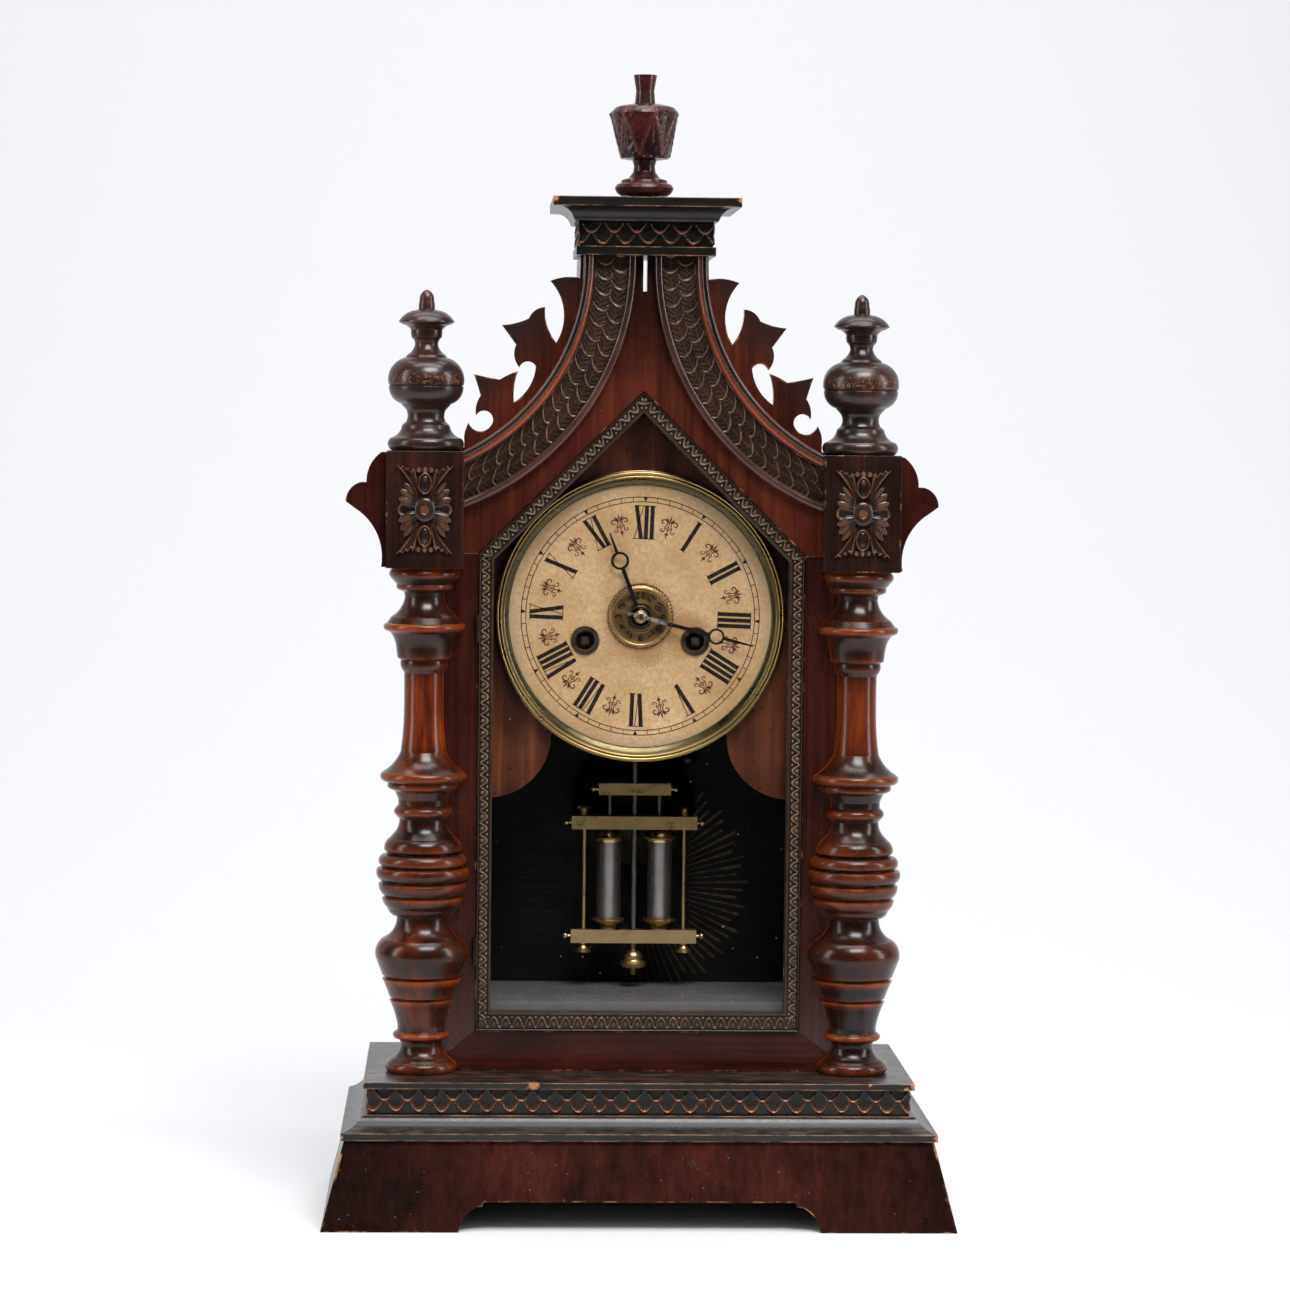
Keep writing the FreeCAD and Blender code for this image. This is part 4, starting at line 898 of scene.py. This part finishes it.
outer_line = door_corners(0.0, 0.0)
inner_line = door_corners(TRIM_W, TRIM_BOTTOM_W)
for k, tag in enumerate(("right", "gable_right", "gable_left", "left", "bottom")):
    a, b = Vector(outer_line[k]), Vector(outer_line[(k + 1) % 5])
    c, d = Vector(inner_line[k]), Vector(inner_line[(k + 1) % 5])
    span = (b - a).length
    along = (b - a) / span
    width = TRIM_BOTTOM_W if tag == "bottom" else TRIM_W
    start_cut, end_cut = (c - a).dot(along), (d - b).dot(along)

    def true_u(u, v, start_cut=start_cut, end_cut=end_cut, span=span):
        """The strip's own coordinate, with its ends mitred."""
        t = (u + span / 2) / span
        return u + v * (start_cut * (1 - t) + end_cut * t)

    def place(u, v, h, a=a, along=along, width=width, span=span, true_u=true_u):
        s = true_u(u, v) + span / 2
        return (a.x + along.x * s - along.y * v * width, DOOR_FACE_Y - h,
                a.y + along.y * s + along.x * v * width)

    def height(u, v, width=width, true_u=true_u):
        return trim_height(width)(true_u(u, v), v)

    rows = np.linspace(0, 1, 34 if tag == "bottom" else 27)
    relief(f"door_trim_{tag}", steps(-span / 2, span / 2, 0.34), rows, height, place, 0.0,
           "trim", "door_trim", "door")


# ------------------------ dial print
NUMERAL_IN, NUMERAL_OUT = 41.0, 58.4
STROKE, HAIR = 2.15, 0.40
PRINT_Y = (-0.07, 0.0)
NUMERALS = ("XII", "I", "II", "III", "IIII", "V", "VI", "VII", "VIII", "IX", "X", "XI")
# width, strokes (foot, head, thickness), and the serif (middle, half) at the foot and at the head
GLYPHS = {
    "I": (3.05, ((0, 0, STROKE),), ((0, 1.75), (0, 1.75))),
    "V": (4.7, ((0.1, -1.35, STROKE), (0.6, 2.0, HAIR)), ((0, 0.6), (0.1, 2.9))),
    "X": (4.9, ((1.5, -1.5, STROKE), (-2.2, 2.2, HAIR)), ((0, 2.8), (0, 2.8))),
}


def on_dial(angle, across, out):
    """A point given by its distance out at an angle clockwise from the top, and across that."""
    a = angle + TURN_OF_PRINT
    x = out * math.sin(a) + across * math.cos(a)
    return x, DIAL_Z + out * math.cos(a) - across * math.sin(a)


def stamp(parts, angle, outline):
    parts.plate([on_dial(angle, x, r) for x, r in outline], *PRINT_Y)


def bar(parts, angle, bottom, top, width, low=NUMERAL_IN, high=NUMERAL_OUT):
    half = width / 2
    corners = ((bottom - half, low), (bottom + half, low), (top + half, high), (top - half, high))
    stamp(parts, angle, corners)


def numeral(parts, angle, text):
    x = -sum(GLYPHS[c][0] for c in text) / 2
    for width, strokes, serifs in (GLYPHS[c] for c in text):
        mid = x + width / 2
        for foot, head, thickness in strokes:
            bar(parts, angle, mid + foot, mid + head, thickness)
        for (offset, half), r in zip(serifs, (NUMERAL_IN, NUMERAL_OUT)):
            bar(parts, angle, mid + offset, mid + offset, 2 * half, r - HAIR / 2, r + HAIR / 2)
        x += width


def ring_line(parts, radius, width):
    parts.tube(*PRINT_Y, radius - width / 2, radius + width / 2, DIAL_AT, "y", 180)


black = Parts()
for hour, text in enumerate(NUMERALS):
    numeral(black, hour * math.pi / 6, text)
TRACK_IN, TRACK_OUT = 60.5, 63.0
ring_line(black, TRACK_IN, 0.40)
ring_line(black, TRACK_OUT, 0.42)
for minute in range(60):
    angle = minute * math.pi / 30
    if minute % 5:
        bar(black, angle, 0, 0, 0.34, TRACK_IN, TRACK_OUT)
    else:
        stamp(black, angle, ((0, TRACK_IN - 0.1), (1.15, TRACK_OUT), (-1.15, TRACK_OUT)))
black.make("dial_numerals", "ink", "case", "dial_paper")


def arabesque(parts, angle):
    """A small printed scroll: a stem between two pairs of curls, a leaf outwards and a bud inwards."""
    def line(points, width):
        ribbon(parts, [on_dial(angle, x, r) for x, r in points], width, *PRINT_Y)

    def swell(t):
        return 0.34 + 0.34 * math.sin(math.pi * t)

    def curl(side, count, first, turn, radius, shrink, at, stretch, rise=0.0):
        """A spiral about a place, turning through an angle in degrees as its radius shrinks."""
        spiral = []
        for t in (k / count for k in range(count + 1)):
            a = math.radians(first + turn * t)
            r = radius * (1 - shrink * t)
            spiral.append((side * (at[0] - r * math.cos(a) * stretch), at[1] + r * math.sin(a) + rise * t))
        return spiral

    for s in (-1, 1):
        large = curl(s, 25, -70, 390, 2.15, 0.70, (3.0, 50.8), 1.05, 0.5)
        line([(s * 0.15, 47.6), (s * 0.9, 48.3)] + large, swell)
        small = curl(s, 15, 60, -330, 1.25, 0.62, (2.9, 47.0), 1.1)
        line([(s * 0.1, 49.4), (s * 0.9, 48.6)] + small, lambda t: 0.3 + 0.2 * math.sin(math.pi * t))
        leaf = [(0.0, 51.6), (0.55, 52.6), (2.3, 54.8), (1.7, 53.3), (3.0, 53.7), (1.5, 52.2), (0.25, 51.2)]
        stamp(parts, angle, [(s * x, r) for x, r in leaf])
    stamp(parts, angle, [(0, 51.8), (0.5, 53.2), (0, 56.0), (-0.5, 53.2)])
    bud = [(0.35, 45.9), (1.25, 45.2), (0.4, 44.7)]
    stamp(parts, angle, [(0, 46.9), *bud, (0, 42.9), *((-x, r) for x, r in reversed(bud))])
    line([(0, 46.0), (0, 48.5), (0, 51.6)], lambda t: 0.38)


red = Parts()
for hour in range(12):
    arabesque(red, (hour + 0.5) * math.pi / 6)
red.make("dial_scrolls", "red", "case", "dial_paper")


# ------------------------ bezel
bezel = Parts()
bead_turn, rim_turn = np.linspace(0.1, math.pi - 0.1, 9), np.linspace(0.05, math.pi * 0.75, 10)
inner_bead = [(-3.6 - 0.55 * math.sin(a), 73.85 - 0.55 * math.cos(a)) for a in bead_turn]
outer_bead = [(-3.35 - math.sin(a), 75.65 - 0.95 * math.cos(a)) for a in rim_turn]
bezel.lathe([
    (1.9, 74.4), (-0.05, 74.3), (-0.05, 69.6), (-0.5, 69.4), (-0.95, 69.6), (-1.3, 70.1), (-1.75, 71.2),
    (-2.5, 72.3), (-3.3, 73.0), (-3.55, 73.2), *inner_bead, (-3.45, 74.6), *outer_bead,
    (-2.2, 76.75), (-1.9, 76.45), (-1.4, 76.5), (-1.1, 77.0), (1.9, 77.0),
], DIAL_AT, "y", 288)
bezel.make("bezel_ring", "bezel", "case", "bezel_brass", 50, "dial_bezel")


# ------------------------ alarm disc, hubs and digits
DISC_FACE_Y, DISC_RIM, KNURL_FROM, KNURL_DEPTH = -0.72, 17.7, 17.2, 0.9
DIGIT_R, DIGIT_SIZE, DIGIT_Y = 11.2, 5.2, -1.36


def alarm_height(u, v):
    """Stamped disc: v is the radius, u the angle."""
    h = np.where(v < 15.9, 0.55, 0.28)
    h = h + 0.55 * bell(v, 15.3, 0.42) + 0.22 * bell(v, 13.9, 0.22)
    h = h + 0.16 * bell(v, 8.3, 0.35) + 0.22 * bell(v, 7.2, 0.25)
    ticks = unit(np.cos(u * 48) * 3 - 1.6) * bell(v, 14.5, 0.3)
    knurl = unit(np.cos(u * 56) * 2.0 + 0.1) * smooth(v, 16.2, 16.7)
    return h + 0.12 * ticks - 0.5 * knurl, knurl


angles = np.linspace(0, 2 * math.pi, 449)[:-1]
radii = np.concatenate([[2.75], np.arange(3.2, DISC_RIM, 0.3)])
grid_u, grid_v = np.meshgrid(angles, radii, indexing="ij")
grid_h, knurl = alarm_height(grid_u, grid_v)
grid_v = np.where(grid_v > KNURL_FROM, grid_v - KNURL_DEPTH * knurl, grid_v)
front = np.stack([grid_v * np.sin(grid_u), DISC_FACE_Y - grid_h, DIAL_Z + grid_v * np.cos(grid_u)], -1)
n, m = grid_u.shape
rear = np.stack([front[:, [0, -1], 0], np.full((n, 2), DISC_FACE_Y), front[:, [0, -1], 2]], -1)
faces, base = turned_faces(n, m), n * m
for i in range(n):
    k = (i + 1) % n
    faces.append((base + 2 * i, base + 2 * k, base + 2 * k + 1, base + 2 * i + 1))
    for column, back in ((0, 0), (m - 1, 1)):
        faces.append((i * m + column, k * m + column, base + 2 * k + back, base + 2 * i + back))
disc = Parts()
disc.add(np.concatenate([front.reshape(-1, 3), rear.reshape(-1, 3)]), faces)
disc.make("alarm_dial", "alarm", "alarm_disc", "alarm_bronze", 50, "alarm_disc")

for hour in range(1, 13):
    text = bpy.data.curves.new(f"digit_{hour}", "FONT")
    text.body = str(hour)
    text.size = DIGIT_SIZE * MM
    text.align_x, text.align_y = "CENTER", "CENTER"
    text.extrude = 0.14 * MM
    text.bevel_depth = 0.05 * MM
    angle = -hour * math.pi / 6
    digit = add_object(f"alarm_digit_{hour}", text)
    spin = Matrix.Rotation(-angle + math.pi, 4, "Y") @ Matrix.Rotation(math.pi / 2, 4, "X")
    spot = Vector((DIGIT_R * math.sin(angle), DIGIT_Y, DIAL_Z + DIGIT_R * math.cos(angle))) * MM
    digit.matrix_world = Matrix.Translation(spot) @ spin
    text.materials.append(M["digit"])
    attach(digit, "alarm_disc")

hub = Parts()
hub.lathe([(-3.9, 4.2), (-4.15, 4.9), (-4.0, 5.6), (-3.4, 6.1), (-2.9, 6.1), (-2.65, 5.6), (-2.65, 2.75),
           (-3.3, 2.75), (-3.6, 3.9)], DIAL_AT, "y", 72)
hub.make("hour_hub", "dark_steel", "hour_motion", "blued_steel")
collet = Parts()
collet.lathe([(-5.25, 1.35), (-6.1, 1.35), (-6.35, 1.6), (-6.25, 2.0), (-5.75, 2.2), (-5.7, 2.7),
              (-5.95, 3.05), (-5.6, 3.45), (-5.25, 3.45)], DIAL_AT, "y", 60)
collet.make("minute_collet", "works", "minute_motion", "plate_brass")
pin = Parts()
for s in (-1, 1):
    pin.lathe([(s * 0.9, 0.02), (s * 0.9, 0.42), (s * 3.0, 0.30), (s * 3.3, 0.02)],
              (0, -6.55, DIAL_Z + 0.1), "x", 14)
pin.make("taper_pin", "steel", "centre_arbor", "plate_brass")


# ------------------------ carved urn
URN_LOW, URN_HIGH = box_mm("urn_finial")
CUP_FOOT, CUP_RIM, CUP_TOP, LEAVES = 555.0, 578.0, 583.0, 7
URN_OUTLINE = [  # height, radius
    (532.0, 8.4), (534.8, 8.0), (535.0, 12.4), (536.3, 14.2), (537.2, 14.9), (539.0, 15.6), (540.8, 14.6),
    (541.8, 12.4), (543.2, 12.0), (544.4, 8.2), (547.5, 5.9), (550.5, 5.5), (553.6, 6.4), (554.4, 12.6),
    (556.4, 13.6), (576.0, 17.7), (578.0, 18.2), (579.2, 17.6), (581.2, 15.9), (582.0, 13.6), (583.4, 5.4),
    (590.0, 4.8), (598.3, 6.2),
]


def urn_relief(angle, z):
    """Pointed leaves rising from the foot of the cup, with a midrib each, and a notched rim."""
    turn = angle * LEAVES / (2 * math.pi)
    across = 2 * np.abs(turn - np.round(turn))
    up = unit((z - CUP_FOOT) / (CUP_RIM - CUP_FOOT))
    on_cup = (z > CUP_FOOT) & (z < CUP_TOP)
    edge = bell(across, up**0.9, 0.13)
    rib = bell(across, 1, 0.10) * smooth(up, 0.1, 0.5) + 0.7 * bell(across, 0, 0.08) * (1 - up)
    veins = 0.5 + 0.5 * np.cos(up * 30.0 + across * 9.0)
    notch = bell(across, 1, 0.16) * smooth(z, 577.5, 579.5) * smooth(CUP_TOP - z, 0, 1.5)
    height = np.where(on_cup, 0.55 * edge + 0.4 * rib + 0.15 * veins - 0.35 - 0.9 * notch, 0)
    return height, np.where(on_cup, unit(0.8 * edge + 0.5 * rib), 0.15)


turns = np.linspace(0, 2 * math.pi, 241)[:-1]
heights = np.unique(np.concatenate([
    np.arange(532.0, 555.0, 0.5), np.arange(555.0, 583.5, 0.4), np.arange(583.5, 598.3, 1.5),
    [z for z, _ in URN_OUTLINE],
]))
grid_a, grid_z = np.meshgrid(turns, heights, indexing="ij")
rise, urn_tone = urn_relief(grid_a, grid_z)
grid_r = np.interp(grid_z, *zip(*URN_OUTLINE)) + rise
urn_at = (URN_LOW + URN_HIGH) / 2
urn_points = np.stack([urn_at.x + grid_r * np.cos(grid_a), urn_at.y + grid_r * np.sin(grid_a), grid_z], -1)
n, m = grid_a.shape
faces = turned_faces(n, m) + [tuple(i * m + j for i in range(n)) for j in (0, m - 1)]
add_mesh("urn_carved", urn_points.reshape(-1, 3), faces, "urn", "case", 40, urn_tone,
         "urn_finial")


# ------------------------ sunburst on the card
RAY_Z, RAYS = 163.0, 84
RAY_RAISED, RAY_SUNK = 0.12, 0.02
rays = Parts()
for k in range(RAYS):
    angle = 2 * math.pi * (k + 0.3) / RAYS
    reach = (64.0, 58.5, 61.5)[k % 3]
    start = (30.0, 33.0)[k % 2]
    width = (0.85, 0.6)[k % 2]
    c, s = math.cos(angle), math.sin(angle)
    points = []
    for r, half in ((start, 0.18), (start, -0.18), (reach - 1.5, -width), (reach, 0.0), (reach - 1.5, width)):
        points.append((r * c - half * s, RAY_Z + r * s + half * c))
    rays.plate(points, CARD_LOW.y - RAY_RAISED, CARD_LOW.y + RAY_SUNK)
rays.make("sunburst_rays", "gilt", "case", "black_card")


# ------------------------ dusty block under the pendulum
BLOCK_X, BLOCK_FOOT, BLOCK_TOP, BLOCK_FRONT, BLOCK_BACK = 103.6, 74.1, 109.2, -5.4, 68.6
block = Parts()
block.plate([(-BLOCK_X, BLOCK_FOOT), (BLOCK_X, BLOCK_FOOT), (BLOCK_X, BLOCK_TOP), (-BLOCK_X, BLOCK_TOP)],
            BLOCK_FRONT, BLOCK_BACK)
block.make("chamber_floor", "dusty", "case", "ebonised_wood")


# ------------------------ pendulum jars and rods
JAR_X, ROD_R, SIDE_ROD_R = 13.8, 1.62, 1.22
tubes, caps, jackets = Parts(), Parts(), Parts()
for side in (-1, 1):
    at = (side * JAR_X, PENDULUM_Y, 0)
    tubes.tube(146.6, 190.4, 0.05, 4.7, at, "z", 48)
    jackets.tube(147.2, 190.0, 5.9, 6.7, at, "z", 56)
    caps.lathe([(141.05, 0.05), (141.05, 4.4), (141.9, 4.9), (142.6, 4.7), (143.2, 4.2), (143.9, 5.0),
                (144.6, 6.2), (145.6, 8.0), (146.5, 8.9), (146.8, 8.8), (145.9, 7.3), (145.6, 6.9),
                (147.4, 6.9), (147.4, 5.8), (146.7, 5.2), (146.7, 0.05)], at, "z", 56)
    caps.lathe([(195.55, 0.05), (195.5, 2.6), (195.0, 4.0), (193.9, 5.3), (192.6, 6.0), (192.0, 6.2),
                (191.7, 7.4), (191.4, 8.9), (191.0, 8.9), (190.8, 7.6), (190.0, 7.0), (189.0, 6.9),
                (188.8, 5.8), (190.3, 5.2), (190.3, 0.05)], at, "z", 56)
tubes.make("jar_cores", "tube", "pendulum", "jar_steel", replaces="pendulum_jars")
jackets.make("jar_glasses", "jar", "pendulum", "jar_steel", replaces="pendulum_jars")
caps.make("jar_caps", "brass", "pendulum", "pendulum_brass", 35, "pendulum_jars")

rods = Parts()
for x, radius, low, high in (
    (0, ROD_R, 141.05, 195.55), (0, ROD_R, 202.75, 214.15), (0, ROD_R, 220.55, 338.0),
    (-13.5, SIDE_ROD_R, 202.75, 214.15), (13.5, SIDE_ROD_R, 202.75, 214.15), (0, ROD_R, 130.0, 133.65),
):
    rods.tube(low, high, radius - 0.5, radius, (x, PENDULUM_Y, 0))
rods.make("pendulum_rods", "steel", "pendulum", "pendulum_brass")


# ------------------------ stage, lights and camera
def stage_material(name, colour, roughness):
    """A plain dull finish that is clear from behind, so the sweep doesn't hide the clock's back."""
    s = Shader(name)
    s.colour(colour)
    s.rough(roughness)
    behind = s.node("ShaderNodeNewGeometry").outputs["Backfacing"]
    s.alpha(s.math("SUBTRACT", 1.0, behind))
    return s.material


def stage_mesh(name, points, faces, material):
    """A floor or card, in metres."""
    data = bpy.data.meshes.new(name)
    data.from_pydata(points, [], faces)
    data.materials.append(material)
    data.shade_smooth()
    piece = add_object(name, data)
    return piece


FLOOR_FRONT, FLOOR_BACK, SWEEP, SWEEP_TOP, SWEEP_HALF = -0.93, 0.6, 1.5, 3.2, 2.6
profile = [(FLOOR_FRONT, 0.0), (FLOOR_BACK, 0.0)]
for a in np.linspace(0.05, math.pi / 2, 32):
    profile.append((FLOOR_BACK + SWEEP * math.sin(a), SWEEP * (1 - math.cos(a))))
profile.append((FLOOR_BACK + SWEEP, SWEEP_TOP))
points = [(x, y, z) for y, z in profile for x in (-SWEEP_HALF, SWEEP_HALF)]
faces = [(2 * i, 2 * i + 1, 2 * i + 3, 2 * i + 2) for i in range(len(profile) - 1)]
stage_mesh("pale_floor", points, faces, stage_material("pale_paper", (0.57, 0.57, 0.58), 0.6))

# A dark room that only reflections see. Its dark floor ends in front of the clock.
ROOM_FRONT, FELT_BACK, ROOM_BACK = -4.2, -0.60, 0.8
ROOM_HALF, ROOM_LOW, ROOM_HIGH = 2.8, 0.001, 3.0
section = ((-ROOM_HALF, ROOM_LOW), (ROOM_HALF, ROOM_LOW), (ROOM_HALF, ROOM_HIGH), (-ROOM_HALF, ROOM_HIGH))
room = [(x, y, z) for y in (ROOM_FRONT, FELT_BACK, ROOM_BACK) for x, z in section]
room_faces = [(0, 1, 2, 3), (0, 1, 5, 4)]
for row in (0, 4):
    room_faces += [(row + a, row + b, row + b + 4, row + a + 4) for a, b in ((1, 2), (2, 3), (3, 0))]
felt = Shader("dark_felt", Roughness=0.9)
felt.colour((0.004, 0.004, 0.004))
dark = stage_mesh("dark_room", room, room_faces, felt.material)
for ray in ("visible_camera", "visible_diffuse", "visible_shadow", "visible_transmission"):
    setattr(dark, ray, False)

world = bpy.data.worlds.new("studio")
world.use_nodes = True
sky = world.node_tree.nodes["Background"].inputs
sky["Color"].default_value = (0.93, 0.94, 0.97, 1)
sky["Strength"].default_value = 0.75
bpy.context.scene.world = world
bpy.context.scene.view_settings.view_transform = "Standard"


def softbox(name, at, aim, size, power):
    """A soft rectangular light. Place, aim and size are in metres, power in watts."""
    lamp = bpy.data.lights.new(name, "AREA")
    lamp.shape = "RECTANGLE"
    lamp.size, lamp.size_y = size
    lamp.energy = power
    holder = add_object(name, lamp)
    holder.location = at
    holder.rotation_euler = (Vector(aim) - Vector(at)).to_track_quat("-Z", "Y").to_euler()


softbox("key_softbox", (0.25, -1.05, 1.75), (0, 0, 0.25), (1.0, 0.6), 38)
softbox("top_softbox", (0, -0.20, 1.60), (0, -0.10, 0), (1.3, 0.35), 10)
softbox("left_strip", (-1.30, -0.45, 0.70), (0, 0, 0.3), (0.22, 1.2), 7)
softbox("right_strip", (1.30, -0.45, 0.70), (0, 0, 0.3), (0.22, 1.2), 9)
softbox("backdrop_light", (0, 0.75, 2.5), (0, 1.9, 0.7), (2.2, 0.6), 22)

# Camera, from the photo's viewing angle: place in metres, lens in millimetres.
CAMERA_AT = Vector((-0.0882, -2.072, 0.420))
YAW, PITCH, ROLL = math.radians(2.51), math.radians(3.36), math.radians(0.63)
forward = Vector((math.sin(YAW) * math.cos(PITCH), math.cos(YAW) * math.cos(PITCH), -math.sin(PITCH)))
level = Vector((math.cos(YAW), -math.sin(YAW), 0))
over = level.cross(forward)
right = level * math.cos(ROLL) + over * math.sin(ROLL)
above = over * math.cos(ROLL) - level * math.sin(ROLL)
camera = add_object("camera", bpy.data.cameras.new("camera"))
camera.data.lens = 109.66
camera.data.sensor_width = 36.0
camera.data.clip_start = 0.05
camera.matrix_world = Matrix.Translation(CAMERA_AT) @ Matrix((right, above, -forward)).transposed().to_4x4()
bpy.context.scene.camera = camera
